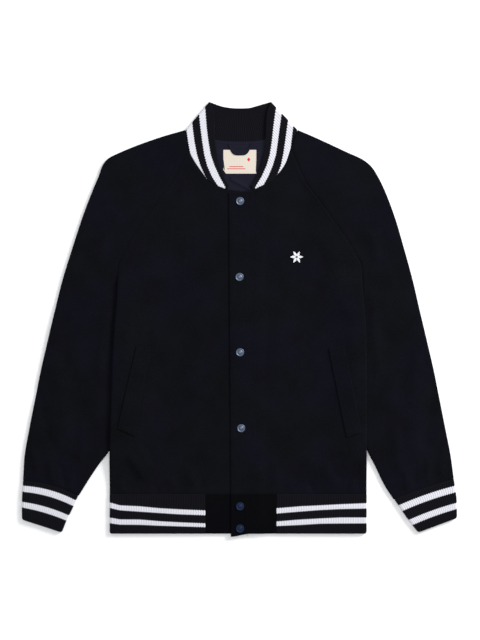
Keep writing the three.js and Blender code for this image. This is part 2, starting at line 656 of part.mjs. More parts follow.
// Flat hem tab of the body cloth at the foot of a front
function hemTabGeometry(side) {
  const over = side === 'left';
  const inner = over ? PLACKET_EDGE_X.bottom : PLACKET_HIDDEN_X.bottom;
  const outer = HEM_TAB_OUTER_X[side] - SIDES[side].sign * SEAM / 2;
  const place = (across, row) => {
    const x = mix(inner, outer, across);
    const drop = over ? TAB_CORNER_DROP * (1 - smooth((x - inner) / 36)) : 0;
    const y = mix(HEM_SEAM_Y - SEAM / 2, HEM_BOTTOM_Y - drop, row);
    return flatPoint([x, y], over ? FRONT_MID + placketStep(x) : FRONT_MID, 1);
  };
  const columns = steps(0, 1, 10);
  return wallGeometry({ place, thickness: CLOTH, upper: columns, under: columns, rows: steps(0, 1, 2) });
}

const LINING_MID = CLOTH + SEAM + LINING.wall / 2;
const LABEL_MID = LINING_MID + LINING.wall / 2 + SEAM + LABEL.wall / 2;
const LOOP_MID = LABEL_MID + LABEL.wall / 2 + SEAM + LOOP.wall / 2;

function liningGeometry() {
  const place = (across, row) => {
    const share = mix(0.24, 0.76, across);
    const [topX, topY] = BACK_NECK_FULL(share);
    const x = mix(topX, mix(-LINING.halfWidth, LINING.halfWidth, across), row);
    return flatPoint([x, mix(topY - 2 * SEAM, LINING.bottomY, row)], LINING_MID, 1);
  };
  const columns = steps(0, 1, 8);
  return wallGeometry({ place, thickness: LINING.wall, upper: columns, under: columns, rows: steps(0, 1, 3) });
}

// The label's lower corner on its left is cut off
function labelGeometry() {
  const { left, right, top, bottom, cutCorner, cutSlope } = LABEL;
  const place = (across, row) => {
    const x = mix(left, right, across);
    const cut = Math.max(0, cutCorner - (x - left)) * cutSlope;
    return flatPoint([x, mix(top, bottom + cut, row)], LABEL_MID, 1);
  };
  const columns = [0, ...steps(cutCorner / (right - left), 1, 3)];
  return wallGeometry({ place, thickness: LABEL.wall, upper: columns, under: columns, rows: steps(0, 1, 2) });
}

// The loop hangs from the neck seam in a flat-bottomed bow over the label
function loopGeometry() {
  const { middleX, halfSpan, topY, lowY, strip, endStripShare } = LOOP;
  const place = (across, row) => {
    const reach = 2 * across - 1;
    const rise = reach ** 4;
    const low = mix(lowY, topY, rise);
    const width = strip * mix(1, endStripShare, rise);
    return flatPoint([middleX + halfSpan * reach, low + width * (1 - row)], LOOP_MID, 1);
  };
  const columns = steps(0, 1, 14);
  return wallGeometry({ place, thickness: LOOP.wall, upper: columns, under: columns, rows: [0, 1] });
}

// A welt lies on its front, so its height comes from the front's own
function weltGeometry(side) {
  const { pocket } = SIDES[side];
  const rise = CLOTH / 2 + SEAM + 0.1 + WELT.wall / 2;
  const place = (across, row) => {
    const plan = between(
      between(pocket.top[0], pocket.top[1], across),
      between(pocket.bottom[0], pocket.bottom[1], across),
      row,
    );
    return flatPoint(plan, bodyFrontHeight(...plan) + rise, 1);
  };
  const columns = steps(0, 1, 3);
  return wallGeometry({ place, thickness: WELT.wall, upper: columns, under: columns, rows: steps(0, 1, 12) });
}

// Domed snap cap with a rolled rim and a shallow ring round its middle
function snapGeometry() {
  const { radius, rimHeight, dome, sides } = SNAP;
  const profile = [
    [0, 0], [radius, 0], [radius, rimHeight - 0.3], [radius - 0.9, rimHeight + 0.5],
    [radius - 1.8, rimHeight + 0.1], [radius * 0.42, dome - 0.4], [0, dome],
  ].map(([x, y]) => new THREE.Vector2(x, y));
  const cap = mergeVertices(stripToPosition(new THREE.LatheGeometry(profile, sides)), 1e-4);
  cap.rotateX(Math.PI / 2);
  return facingOut(withoutEmptyTriangles(cap));
}

function stripToPosition(geometry) {
  geometry.deleteAttribute('normal');
  geometry.deleteAttribute('uv');
  return geometry;
}

// A lathe's poles leave triangles with two corners alike
function withoutEmptyTriangles(geometry) {
  const ids = Array.from(geometry.getIndex().array);
  const kept = [];
  for (let k = 0; k < ids.length; k += 3) {
    const [a, b, c] = ids.slice(k, k + 3);
    if (a !== b && b !== c && c !== a) kept.push(a, b, c);
  }
  geometry.setIndex(kept);
  return geometry;
}

function frontGeometry(side) {
  const turns = steps(1, 2, 3).slice(1);
  return wallGeometry({
    place: frontPlace(side),
    thickness: CLOTH,
    upper: [...FRONT_COLUMNS, ...turns],
    under: [...FRONT_COLUMNS.filter((value, index) => index % 2 === 0), ...turns],
    rows: BODY_ROWS,
  });
}

function backGeometry() {
  const ramp = [0, 0.035, 0.07, 0.105, 0.14, 0.18];
  const flat = [...ramp, 0.3, 0.43, 0.57, 0.7, ...ramp.map(value => 1 - value).reverse()];
  const turns = { right: [-1, -0.67, -0.33], left: [1.33, 1.67, 2] };
  return wallGeometry({
    place: backPlace,
    thickness: CLOTH,
    upper: [...turns.right, ...flat, ...turns.left],
    under: [...turns.right, ...flat.filter((value, index) => index % 2 === 0 || value === 1), ...turns.left],
    rows: BACK_ROWS,
  });
}

function sleeveGeometry(side) {
  const turns = { start: [-1, -0.67, -0.33], outer: [1.25, 1.5, 1.75], end: [3.33, 3.67, 4] };
  const columns = flatCount => [
    ...turns.start, ...steps(0, 1, flatCount), ...turns.outer, ...steps(2, 3, 4), ...turns.end,
  ];
  return wallGeometry({
    place: sleevePlace(side),
    thickness: CLOTH,
    upper: columns(8),
    under: columns(4),
    rows: SLEEVE_ROWS,
  });
}

const jacket = new THREE.Group();
jacket.add(piece('back_panel', NAVY_WOOL, backGeometry()));
for (const side of ['left', 'right']) {
  jacket.add(piece(`front_${side}`, NAVY_WOOL, frontGeometry(side)));
  jacket.add(piece(`sleeve_${side}`, NAVY_WOOL, sleeveGeometry(side)));
  jacket.add(piece(`cuff_${side}`, NAVY_RIB, cuffGeometry(side)));
  jacket.add(piece(`hem_tab_${side}`, NAVY_WOOL, hemTabGeometry(side)));
  jacket.add(piece(`pocket_welt_${side}`, NAVY_WOOL, weltGeometry(side)));
}
jacket.add(piece('hem_rib', NAVY_RIB, hemGeometry()));
jacket.add(piece('collar_rib', NAVY_RIB, collarGeometry()));
jacket.add(piece('neck_lining', NAVY_SATIN, liningGeometry()));
jacket.add(piece('neck_label', CREAM_COTTON, labelGeometry()));
jacket.add(piece('hanger_loop', NAVY_SATIN, loopGeometry()));
SNAP_PLACES.forEach(({ x, y }, index) => {
  const onTab = y < HEM_SEAM_Y;
  const snap = piece(`snap_${index + 1}`, onTab ? NAVY_ENAMEL : PEWTER, snapGeometry());
  snap.position.set(x, y, overFrontHeight(x, y) + CLOTH / 2 + SEAM);
  jacket.add(snap);
});

export default jacket;
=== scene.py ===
"""Varsity jacket laid flat on its back with its snaps closed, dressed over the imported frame.

Plan sizes are in millimetres, as in the CAD, and become metres when a mesh is made.
Left and right are the wearer's, so the left side lies at +X.
"""

import math

import bpy
import numpy as np
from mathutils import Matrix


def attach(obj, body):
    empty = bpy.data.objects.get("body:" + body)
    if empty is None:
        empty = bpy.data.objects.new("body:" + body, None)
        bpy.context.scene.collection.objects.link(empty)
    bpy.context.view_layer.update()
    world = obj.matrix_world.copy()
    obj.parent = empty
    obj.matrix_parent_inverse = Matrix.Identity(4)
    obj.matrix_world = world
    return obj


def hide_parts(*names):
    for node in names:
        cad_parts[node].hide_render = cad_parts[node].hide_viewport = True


bl_info = {
    "name": "Varsity Jacket",
    "version": (1, 0, 0),
    "blender": (4, 5, 0),
    "location": "3D View > Sidebar > Jacket",
    "description": "Builds a wool varsity jacket with rib trim and snaps, laid flat",
    "category": "Object",
}

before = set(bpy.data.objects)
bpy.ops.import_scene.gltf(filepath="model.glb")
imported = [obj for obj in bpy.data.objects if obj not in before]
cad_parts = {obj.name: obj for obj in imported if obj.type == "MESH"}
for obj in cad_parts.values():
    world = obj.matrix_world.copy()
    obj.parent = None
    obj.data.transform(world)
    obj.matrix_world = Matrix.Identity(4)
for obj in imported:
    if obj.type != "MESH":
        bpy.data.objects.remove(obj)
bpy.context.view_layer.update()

# Gap between stacked layers, and how far the edges sewn together run into each other
SEAM = 0.3
LAP = 0.3

# How much further the sleeve's inner side runs under the body, which closes the armhole at the underarm.
# It sets in over a stretch of the rows from the neck (0) to the underarm (1).
ARM_LAP = 1.2
ARM_LAP_START = 0.82
ARM_LAP_FADE = 0.1

# Heights of the layers above the floor, at the middle of each wall
INNER_GAP = 2.0
SIDE_LIFT = 6.5
COLLAR_FRONT_MID = 5.3
COLLAR_EDGE_RISE = 0.4

# Body
UNDERARM_Y = 102
HEM_SEAM_Y = -323
HEM_BOTTOM_Y = -396
LIFT_FULL_TOP_Y = 54
LIFT_FULL_BOTTOM_Y = -241
LIFT_END_Y = -310
LIFT_STRIP = 17
LIFT_RAMP = 72
PLACKET_EDGE_X = {"top": -20, "bottom": -16}
PLACKET_HIDDEN_X = {"top": 11, "bottom": 15}
PLACKET_RAMP = {"from": 34, "to": 54}
HEM_TAB_OUTER_X = {"right": -63, "left": 68}
TAB_CORNER_DROP = 5.5
SEAM_TURN = 90
UNDERARM_BEND_SHARE = 0.1
UNDERARM_OUTER_SHARE = 0.355
COLLAR_FOLD_SHARE = {"front": 0.022, "back_seam": 0.016, "back_edge": 0.028}
CUFF_BOW = {"left": 2.2, "right": 5.5}
CUFF_BOW_ROWS = 0.25
CUFF_PUFF = 0.7
CORNER_SHARE = 0.3
NECK_SHARE = 0.4

# Small pieces
LINING = {"wall": 0.8, "half_width": 58, "bottom_y": 222}
LABEL = {"wall": 0.5, "left": -30, "right": 31, "top": 313, "bottom": 269, "cut_corner": 5}
LOOP = {"wall": 0.6, "strip": 10.8, "half_span": 21, "middle_x": 0.7, "top_y": 322, "low_y": 302.6}
WELT_WALL = 1.5

# Stage, in metres and watts: each soft light's place, size and power
FLOOR_REACH = 12.0
FLOOR_DROP = 0.0003
SOFTBOXES = {
    "key_softbox": ((2.6, 1.9, 1.75), 1.3, 148),
    "overhead_softbox": ((0.1, 0.2, 3.3), 2.2, 40),
}
STUDIO_AIR = {"colour": (0.96, 0.97, 1.0, 1.0), "strength": 0.53}
CAMERA = {"lens": 85, "sensor": 36, "place": (0.0009, -0.0014, 2.796)}

SNAP_PLACES = ((1, 218), (0, 78), (1, -61), (3, -201), (1, -345), (1, -386))

# Plan outlines of each side, as (x, y) points from the neck to the cuff or the hem
SIDES = {
    "left": {
        "sign": 1,
        "sleeve_outer": (
            (107, 350), (133, 339), (166, 324), (198, 309), (228, 295), (243, 283), (254, 267), (268, 239),
            (287, 189), (305, 128), (320, 73), (333, 17), (346, -38), (359, -94), (370, -149), (381, -205),
            (390, -251), (396, -295),
        ),
        "raglan": ((95, 316), (106, 291), (123, 254), (151, 215), (180, 174), (203, 141), (226, 102)),
        "raglan_back": ((66, 337), (88, 300), (118, 252), (150, 208), (184, 162), (208, 129), (226, 102)),
        "sleeve_inner": (
            (226, 102), (228, 54), (225, -1), (224, -57), (227, -149), (231, -214), (237, -242),
            (251, -270), (269, -307), (286, -333),
        ),
        "body_side": ((226, 102), (228, 54), (231, 17), (234, -29), (235, -149), (235, -242), (235, -323)),
        "neck": ((23, 237), (34, 243), (56, 254), (73, 271), (84, 287), (92, 309), (99, 332), (107, 350)),
        "collar_edge": (
            (19, 245), (31, 265), (40, 289), (46, 315), (48, 337), (49, 361), (51, 383), (58, 402),
        ),
        "cuff_outer": ((396, -295), (401, -330), (402, -367)),
        "cuff_inner": ((286, -333), (301, -355), (312, -371), (330, -394)),
        "pocket": {"top": ((164, -53), (193, -48)), "bottom": ((197, -218), (226, -209))},
    },
    "right": {
        "sign": -1,
        "sleeve_outer": (
            (-99, 350), (-138, 339), (-182, 324), (-219, 309), (-244, 296), (-254, 282), (-260, 265),
            (-271, 239), (-290, 189), (-310, 128), (-327, 73), (-341, 17), (-354, -38), (-367, -94),
            (-378, -149), (-389, -205), (-397, -251), (-400, -298),
        ),
        "raglan": ((-95, 316), (-106, 291), (-125, 254), (-154, 215), (-184, 174), (-206, 141), (-225, 102)),
        "raglan_back": (
            (-66, 337), (-88, 300), (-118, 252), (-150, 208), (-184, 162), (-208, 129), (-225, 102),
        ),
        "sleeve_inner": (
            (-225, 102), (-226, 54), (-223, -1), (-223, -57), (-228, -149), (-234, -214), (-241, -241),
            (-262, -270), (-280, -297), (-298, -326),
        ),
        "body_side": (
            (-225, 102), (-226, 54), (-230, -1), (-234, -57), (-237, -149), (-240, -242),
            (-240, -323),
        ),
        "neck": (
            (-20, 239), (-32, 243), (-55, 254), (-69, 271), (-84, 293), (-92, 309), (-97, 335),
            (-99, 350),
        ),
        "collar_edge": (
            (-19, 245), (-29, 263), (-38, 289), (-43, 315), (-46, 337), (-46, 361), (-48, 383), (-56, 402),
        ),
        "cuff_outer": ((-400, -298), (-402, -335), (-402, -370)),
        "cuff_inner": ((-298, -326), (-310, -353), (-319, -371), (-328, -394)),
        "pocket": {"top": ((-190, -49), (-162, -51)), "bottom": ((-225, -201), (-193, -216))},
    },
}
BACK_NECK_SEAM = ((-99, 350), (-73, 339), (-36, 330), (1, 328), (38, 330), (74, 339), (107, 350))
BACK_COLLAR_EDGE = ((-56, 402), (-34, 394), (-18, 391), (0, 390), (19, 391), (34, 395), (58, 402))

# Ridges (positive height) and troughs of the upper layers: x0, y0, x1, y1, half width, height
FOLDS = (
    (-352, 40, -316, -265, 16, 1.6),
    (-300, 120, -246, -40, 20, 1.8),
    (330, 10, 318, -260, 16, 1.6),
    (292, 150, 252, -10, 20, 1.8),
    (-196, -232, -150, -312, 16, 1.5),
    (100, -236, 172, -312, 16, 1.5),
    (-120, 190, -196, 84, 22, 1.5),
    (128, 186, 192, 84, 22, 1.5),
    (-250, 250, -215, 150, 20, 1.4),
    (246, 246, 214, 150, 20, 1.4),
)
BODY_CREASES = (
    (-208, -242, -172, -300, 9, 4.0),
    (-184, -218, -154, -276, 9, -1.8),
    (-96, -262, -84, -318, 11, 2.2),
    (-132, -284, -120, -322, 8, 2.1),
    (-222, -296, -214, -324, 6, 1.8),
    (-158, -300, -150, -324, 5, -1.6),
    (-72, -290, -66, -322, 7, -1.6),
    (96, -288, 90, -322, 8, 2.1),
    (128, -296, 136, -324, 6, -1.8),
    (150, -262, 186, -318, 9, 2.2),
    (206, -290, 212, -324, 7, 2.1),
    (62, -250, 74, -318, 12, 1.8),
    (-130, 60, -196, 96, 16, 2.1),
    (136, 52, 200, 92, 16, 2.1),
    (-60, 150, -150, 40, 26, -1.8),
    (70, 130, 150, 30, 26, -1.6),
    (-90, -30, -60, -180, 26, 1.8),
    (88, -10, 104, -170, 28, 1.8),
    (-204, 40, -216, -180, 12, 1.6),
    (210, 36, 214, -180, 12, 1.6),
    (-110, 262, -128, 214, 10, -1.3),
    (108, 262, 126, 214, 10, -1.3),
)
SLEEVE_CREASES = (
    (-262, 190, -298, 60, 14, -1.8),
    (-236, 60, -262, -120, 12, 2.2),
    (-330, -60, -290, -150, 14, -1.8),
    (-376, -120, -344, -250, 9, -1.8),
    (-286, -180, -300, -290, 10, 2.1),
    (-382, -236, -372, -300, 7, 2.2),
    (-352, -256, -346, -312, 6, 2.1),
    (-330, -270, -326, -316, 5, -1.8),
    (-308, -262, -314, -322, 6, 1.8),
    (-240, 170, -262, 96, 10, 2.1),
    (262, 184, 296, 60, 14, -1.8),
    (238, 60, 258, -120, 12, 2.2),
    (322, -50, 286, -150, 14, -1.8),
    (366, -110, 338, -246, 9, -1.8),
    (284, -186, 298, -296, 10, 2.1),
    (378, -232, 372, -296, 7, 2.2),
    (350, -254, 346, -306, 6, 2.1),
    (326, -262, 324, -314, 5, -1.8),
    (304, -268, 310, -322, 6, 1.8),
    (240, 168, 258, 96, 10, 2.1),
)
# Dents of the layers that lie on the floor, where the cloth bridges up off it
UNDER_DENTS = (
    (-120, 40, -60, -150, 14, 0.7),
    (60, 90, 120, -90, 16, 0.7),
    (-40, 240, 30, 170, 12, 0.6),
    (-20, -180, 60, -280, 12, 0.6),
    (-330, 20, -350, -150, 12, 0.7),
    (-270, 150, -300, 30, 10, 0.7),
    (330, 0, 344, -160, 12, 0.7),
    (268, 150, 296, 40, 10, 0.7),
)
# Sides of the collar's two white stripes at each height:
# y, then the inner stripe's from and to, then the outer stripe's from and to
COLLAR_STRIPES = {
    "right": (
        (390.8, -75.9, -63.5, -101.8, -89.2), (372.3, -74.0, -62.2, -100.3, -88.1),
        (353.8, -72.0, -60.7, -98.4, -86.6), (327.9, -68.6, -57.5, -94.7, -83.3),
        (303.9, -64.9, -53.3, -90.5, -78.6), (283.5, -59.6, -46.3, -84.9, -72.3),
        (263.2, -50.7, -37.0, -75.7, -63.1), (244.7, -38.9, -26.8, -63.8, -50.9),
    ),
    "left": (
        (390.8, 67.5, 79.2, 92.5, 104.2), (372.3, 64.9, 76.6, 90.3, 101.4),
        (353.8, 62.5, 74.0, 87.9, 98.8), (327.9, 59.8, 70.7, 84.4, 95.6),
        (303.9, 56.1, 67.2, 80.8, 92.7), (283.5, 50.0, 61.2, 76.4, 87.9),
        (263.2, 40.9, 52.7, 68.5, 80.5), (244.7, 29.6, 42.4, 57.4, 69.4),
    ),
}
# Stripes of white yarn on the cuffs, as shares from the seam to the free edge
CUFF_STRIPES = {"left": ((0.17, 0.33), (0.60, 0.75)), "right": ((0.12, 0.27), (0.53, 0.67))}
# Heights of the hem stripes' edges along each front, as x, upper top, upper bottom, lower top, lower bottom
HEM_STRIPES = {
    "right": (
        (-240, -338.0, -348.0, -366.0, -376.2), (-221, -343.6, -352.5, -369.5, -379.0),
        (-184, -345.4, -355.0, -369.8, -379.3), (-147, -349.0, -357.6, -373.0, -381.0),
        (-110, -351.0, -360.0, -375.0, -382.2), (-64, -353.0, -361.6, -376.9, -383.6),
    ),
    "left": (
        (68, -349.0, -358.5, -373.4, -381.6), (112, -345.4, -354.8, -369.8, -379.6),
        (149, -343.6, -352.0, -367.8, -377.2), (186, -341.6, -350.2, -366.0, -376.8),
        (235, -339.6, -349.2, -366.0, -376.6),
    ),
}


def linear(code):
    """Turns an sRGB hex colour into linear red, green and blue."""
    parts = [int(code[i:i + 2], 16) / 255 for i in (1, 3, 5)]
    return tuple(p / 12.92 if p <= 0.04045 else ((p + 0.055) / 1.055) ** 2.4 for p in parts)


def length_property(name, description, default):
    """A size in metres that a user may change."""
    return bpy.props.FloatProperty(
        name=name, description=description, default=default, min=0.0, unit="LENGTH",
    )


def colour_property(name, description, code):
    """A colour that a user may change, from its sRGB hex value."""
    return bpy.props.FloatVectorProperty(
        name=name, description=description, default=linear(code), min=0.0, max=1.0, size=3, subtype="COLOR",
    )


class JacketSizes(bpy.types.PropertyGroup):
    """Sizes of the cloth, ribs, stitches and snaps."""

    cloth_wall: length_property("Wool", "Thickness of the wool", 0.002)
    rib_wall: length_property("Rib knit", "Thickness of the rib knit between its ribs", 0.0024)
    rib_relief: length_property("Rib relief", "Height of a rib over the groove beside it", 0.00055)
    rib_pitch: length_property("Rib pitch", "Distance from rib to rib", 0.0046)
    grid: length_property("Grid", "Distance between the points of a cloth mesh", 0.0036)
    stitch: length_property("Stitch", "Length of a stitch", 0.0026)
    stitch_pitch: length_property("Stitch pitch", "Distance from stitch to stitch", 0.0033)
    thread: length_property("Thread", "Thickness of the sewing thread", 0.0006)
    snap_radius: length_property("Snap radius", "Radius of a snap's cap", 0.0075)
    snap_dome: length_property("Snap dome", "Height of a snap's dome over its foot", 0.0023)
    motif_petal: length_property("Petal", "Length of a petal of the chest motif", 0.012)


class JacketColours(bpy.types.PropertyGroup):
    """Colours of the cloth, thread, snaps and floor."""

    wool: colour_property("Wool", "Near-black navy melton", "#0a0b0e")
    wool_blue: colour_property("Wool, blue", "The bluer patches of the melton's nap", "#0a0a12")
    rib: colour_property("Rib", "Near-black navy rib yarn", "#0b0b11")
    stripe: colour_property("Stripe", "White rib yarn", "#d0d0d7")
    lining: colour_property("Lining", "Navy satin", "#10101e")
    label: colour_property("Label", "Cream cotton", "#ccc3b6")
    label_thread: colour_property("Label thread", "Red woven thread", "#c8303c")
    thread: colour_property("Thread", "Navy sewing thread", "#0b0b10")
    motif: colour_property("Motif thread", "White embroidery thread", "#e8e8ed")
    pewter: colour_property("Pewter", "Blue-grey metal of the front snaps", "#5c6677")
    enamel: colour_property("Enamel", "Navy enamel of the hem snaps", "#0f1e38")
    floor: colour_property("Floor", "Plain pale floor", "#f9f9f9")


def mm(name):
    """A size of the jacket in millimetres."""
    return getattr(bpy.context.scene.jacket_sizes, name) * 1000


def colour(name):
    """A colour of the jacket, with full alpha."""
    return (*getattr(bpy.context.scene.jacket_colours, name), 1.0)


def mix(a, b, t):
    return a + (b - a) * t


def smooth(value):
    t = np.clip(value, 0, 1)
    return t * t * (3 - 2 * t)


def between(a, b, t):
    """Points between a and b, at the shares t."""
    return a + (b - a) * np.asarray(t)[..., None]


def unit(vectors):
    return vectors / np.linalg.norm(vectors, axis=-1, keepdims=True)


class PlanCurve:
    """Smooth plan curve through a table of points, read by its share of length."""

    def __init__(self, table):
        knots = np.array(table, float)
        knots = np.vstack([2 * knots[0] - knots[1], knots, 2 * knots[-1] - knots[-2]])
        t = np.linspace(0, 1, 60, endpoint=False)[:, None]
        parts = []
        for a, b, c, d in zip(knots, knots[1:], knots[2:], knots[3:]):
            before, middle, after = (np.linalg.norm(q - p) ** 0.5 for p, q in ((a, b), (b, c), (c, d)))
            start = ((b - a) / before - (c - a) / (before + middle) + (c - b) / middle) * middle
            end = ((c - b) / middle - (d - b) / (middle + after) + (d - c) / after) * middle
            square = 3 * (c - b) - 2 * start - end
            cube = 2 * (b - c) + start + end
            parts.append(b + start * t + square * t ** 2 + cube * t ** 3)
        self.points = np.vstack([*parts, knots[-2:-1]])
        reach = np.r_[0, np.cumsum(np.linalg.norm(np.diff(self.points, axis=0), axis=1))]
        self.length = reach[-1]
        self.shares = reach / self.length

    def __call__(self, share):
        return np.stack([np.interp(share, self.shares, self.points[:, k]) for k in (0, 1)], -1)

    def beside(self, share, distance):
        """Points beside the curve, to the left of its way for a positive distance."""
        share = np.asarray(share, float)
        way = unit(self(share + 0.002) - self(share - 0.002))
        return self(share) + np.stack([-way[..., 1], way[..., 0]], -1) * distance

    def nearest_share(self, point):
        return self.shares[np.argmin(np.linalg.norm(self.points - point, axis=1))]


CURVE_NAMES = (
    "sleeve_outer", "raglan", "raglan_back", "sleeve_inner", "body_side", "neck", "collar_edge", "cuff_outer",
    "cuff_inner",
)
OUTLINES = {side: {name: PlanCurve(table[name]) for name in CURVE_NAMES} for side, table in SIDES.items()}
BACK_NECK_FULL = PlanCurve(BACK_NECK_SEAM)
BACK_COLLAR_TOP = PlanCurve(BACK_COLLAR_EDGE)


def sign_of(side):
    return SIDES[side]["sign"]


def front_mid():
    """Height of the fronts' middle layer over the floor."""
    return mm("cloth_wall") * 1.5 + INNER_GAP


def fold_inset():
    return (front_mid() - mm("cloth_wall") / 2) / 2 + mm("cloth_wall") / 2


def body_side_x(side, y):
    """Distance from the centre line to the body's side at a height."""
    points = OUTLINES[side]["body_side"].points
    return np.abs(np.interp(-np.asarray(y, float), -points[:, 1], points[:, 0]))


def back_neck_dip(x):
    """How far the back neck seam dips below a line between the two back raglan seams."""
    end_x, end_y = SIDES["left"]["raglan_back"][0]
    points = BACK_NECK_FULL.points
    return end_y - np.interp(np.clip(x, -end_x, end_x), points[:, 0], points[:, 1])


def side_lift(x, y):
    """The body's sides lie over the sleeves' inner strips, so they are raised there."""
    along = np.minimum(
        smooth((UNDERARM_Y - y) / (UNDERARM_Y - LIFT_FULL_TOP_Y)),
        smooth((y - LIFT_END_Y) / (LIFT_FULL_BOTTOM_Y - LIFT_END_Y)),
    )
    inset = np.where(x > 0, body_side_x("left", y), body_side_x("right", y)) - np.abs(x)
    return SIDE_LIFT * along * (1 - smooth((inset - LIFT_STRIP) / LIFT_RAMP))


def crease_height(table, x, y):
    """Sum of the soft ridges and troughs of a table at plan points."""
    total = np.zeros(np.broadcast(x, y).shape)
    for x0, y0, x1, y1, half, height in table:
        dx, dy = x1 - x0, y1 - y0
        length = math.hypot(dx, dy)
        along = ((x - x0) * dx + (y - y0) * dy) / length
        off = ((x - x0) * dy - (y - y0) * dx) / length / half
        ends = smooth(along / half / 2) * smooth((length - along) / half / 2)
        total += height * ends * np.exp(-off * off)
    return total


def snap_dimples(x, y):
    """Shallow hollows that the snaps pull into the front."""
    total = np.zeros(np.broadcast(x, y).shape)
    for snap_x, snap_y in SNAP_PLACES[:4]:
        total -= 0.6 * np.exp(-((x - snap_x) ** 2 + (y - snap_y) ** 2) / 15 ** 2)
    return total


def back_height(x, y):
    return mm("cloth_wall") / 2 + side_lift(x, y) + crease_height(UNDER_DENTS, x, y)


def body_front_height(x, y):
    folds = crease_height(FOLDS, x, y) + crease_height(BODY_CREASES, x, y)
    return front_mid() + side_lift(x, y) + folds


def placket_step(x):
    rise = mm("cloth_wall") + SEAM
    return rise * (1 - smooth((x - PLACKET_RAMP["from"]) / (PLACKET_RAMP["to"] - PLACKET_RAMP["from"])))


def over_front_height(x, y):
    return body_front_height(x, y) + placket_step(x) + snap_dimples(x, y)


def sleeve_fold(x, y):
    return crease_height(FOLDS, x, y) + crease_height(SLEEVE_CREASES, x, y)


def spread(start, stop, length, pitch, firm=(False, False)):
    """Values from start to stop about a pitch apart, and close together beside a firm edge."""
    values = np.linspace(start, stop, max(2, round(length / pitch)) + 1)
    close = np.array([0.12, 0.35, 0.7, 1.1, 1.7]) * (stop - start) / length
    parts = [values]
    if firm[0]:
        parts.append(start + close)
    if firm[1]:
        parts.append(stop - close)
    return np.unique(np.round(np.concatenate(parts), 7))


def joined(*parts):
    return np.unique(np.round(np.concatenate(parts), 7))


def flat_at(plan, z, facing):
    """Mid points and outward ways of flat cloth."""
    at = np.concatenate([plan, np.broadcast_to(z, plan.shape[:-1])[..., None]], -1)
    return at, np.broadcast_to([0.0, 0.0, facing], at.shape)


def turned(edge, way, top_z, bottom_z, wall, degrees):
    """The cloth's turn at a folded side. 0 degrees is on top and 180 degrees below."""
    angle = np.radians(degrees)[None]
    radius = np.reshape((top_z - bottom_z) / 2, (-1, 1))
    plan = edge[:, None] - way[:, None] * (radius * (1 - np.sin(angle)) + wall / 2)[..., None]
    z = np.reshape((top_z + bottom_z) / 2, (-1, 1)) + radius * np.cos(angle)
    z = np.broadcast_to(z, plan.shape[:-1])
    side = way[:, None] * np.sin(angle)[..., None]
    up = np.broadcast_to(np.cos(angle)[..., None], (*side.shape[:-1], 1))
    return np.concatenate([plan, z[..., None]], -1), np.concatenate([side, up], -1)


def seam_edge(edge, way, top_z, bottom_z, share, bend, layer):
    """One layer's edge at a side seam. share runs out from the flat cloth; bend 0 stays flat."""
    facing = 1 if layer == "top" else -1
    angle = share[None] * math.radians(SEAM_TURN)
    radius = ((top_z - bottom_z) / 2)[:, None]
    lean = angle * bend[:, None]
    bent = radius * (1 - np.sin(angle)) + mm("cloth_wall") / 2
    inset = mix(fold_inset() * (1 - share)[None], bent, np.sin(bend * math.pi / 2)[:, None])
    plan = edge[:, None] - way[:, None] * inset[..., None]
    drop = radius * (1 - np.cos(angle)) * bend[:, None]
    z = (top_z if layer == "top" else bottom_z)[:, None] - facing * drop
    at = np.concatenate([plan, z[..., None]], -1)
    out = np.concatenate([way[:, None] * np.sin(lean)[..., None], facing * np.cos(lean)[..., None]], -1)
    return at, out


def near_underarm(share):
    return 1 - smooth(share / UNDERARM_BEND_SHARE)


def side_by_side(*parts):
    """Joins column groups of one sheet."""
    ats, outs = zip(*parts)
    return np.concatenate(ats, 1), np.concatenate(outs, 1)


def row_height(row):
    return mix(HEM_SEAM_Y - LAP / 2, UNDERARM_Y, row)


def body_rows():
    """Rows of the body from the hem seam (0) to the underarm (1) and on to the neck (2)."""
    pitch = mm("grid")
    return joined(
        spread(0, 1, UNDERARM_Y - HEM_SEAM_Y, pitch, (True, False)),
        spread(1, 1 + CORNER_SHARE, 78, pitch),
        spread(1 + CORNER_SHARE, 1 + NECK_SHARE, 26, pitch, (True, True)),
        spread(1 + NECK_SHARE, 2, 156, pitch, (False, True)),
    )


def body_side_line(side, rows):
    """Points of the body's side at the given rows."""
    return np.stack([sign_of(side) * body_side_x(side, row_height(rows)), row_height(rows)], -1)


def front_lines(side, rows):
    """Inner edge, outer edge, way across and bend of each row of a front."""
    lines = OUTLINES[side]
    sign = sign_of(side)
    edge_x = PLACKET_EDGE_X if side == "left" else PLACKET_HIDDEN_X
    neck = lines["neck"]
    neck_end = neck.nearest_share(SIDES[side]["raglan"][0])
    low = np.array([mix(edge_x["bottom"], edge_x["top"], 0.8), UNDERARM_Y])
    corner = np.array([edge_x["top"], SIDES[side]["neck"][0][1] - 3])
    share = rows - 1
    below = np.stack([mix(edge_x["bottom"], edge_x["top"], rows * 0.8), row_height(rows)], -1)
    to_corner = between(low, corner, share / CORNER_SHARE)
    neck_start = neck.beside(0.01, sign * LAP / 2)
    to_neck = between(corner, neck_start, (share - CORNER_SHARE) / (NECK_SHARE - CORNER_SHARE))
    along = (share - NECK_SHARE) / (1 - NECK_SHARE)
    on_neck = neck.beside(mix(0.01, neck_end - 0.03, along), sign * LAP / 2)
    tests = [(rows <= 1)[:, None], (share <= CORNER_SHARE)[:, None], (share <= NECK_SHARE)[:, None]]
    inner = np.select(tests, [below, to_corner, to_neck], on_neck)
    at_side = body_side_line(side, rows)
    at_raglan = lines["raglan"].beside(1 - share * 0.985, sign * LAP / 2)
    edge = np.where(tests[0], at_side, at_raglan)
    way = np.where(tests[0], [sign, 0], unit(edge - inner))
    bend = np.where(rows <= 1, 1, near_underarm(share))
    return inner, edge, way, bend


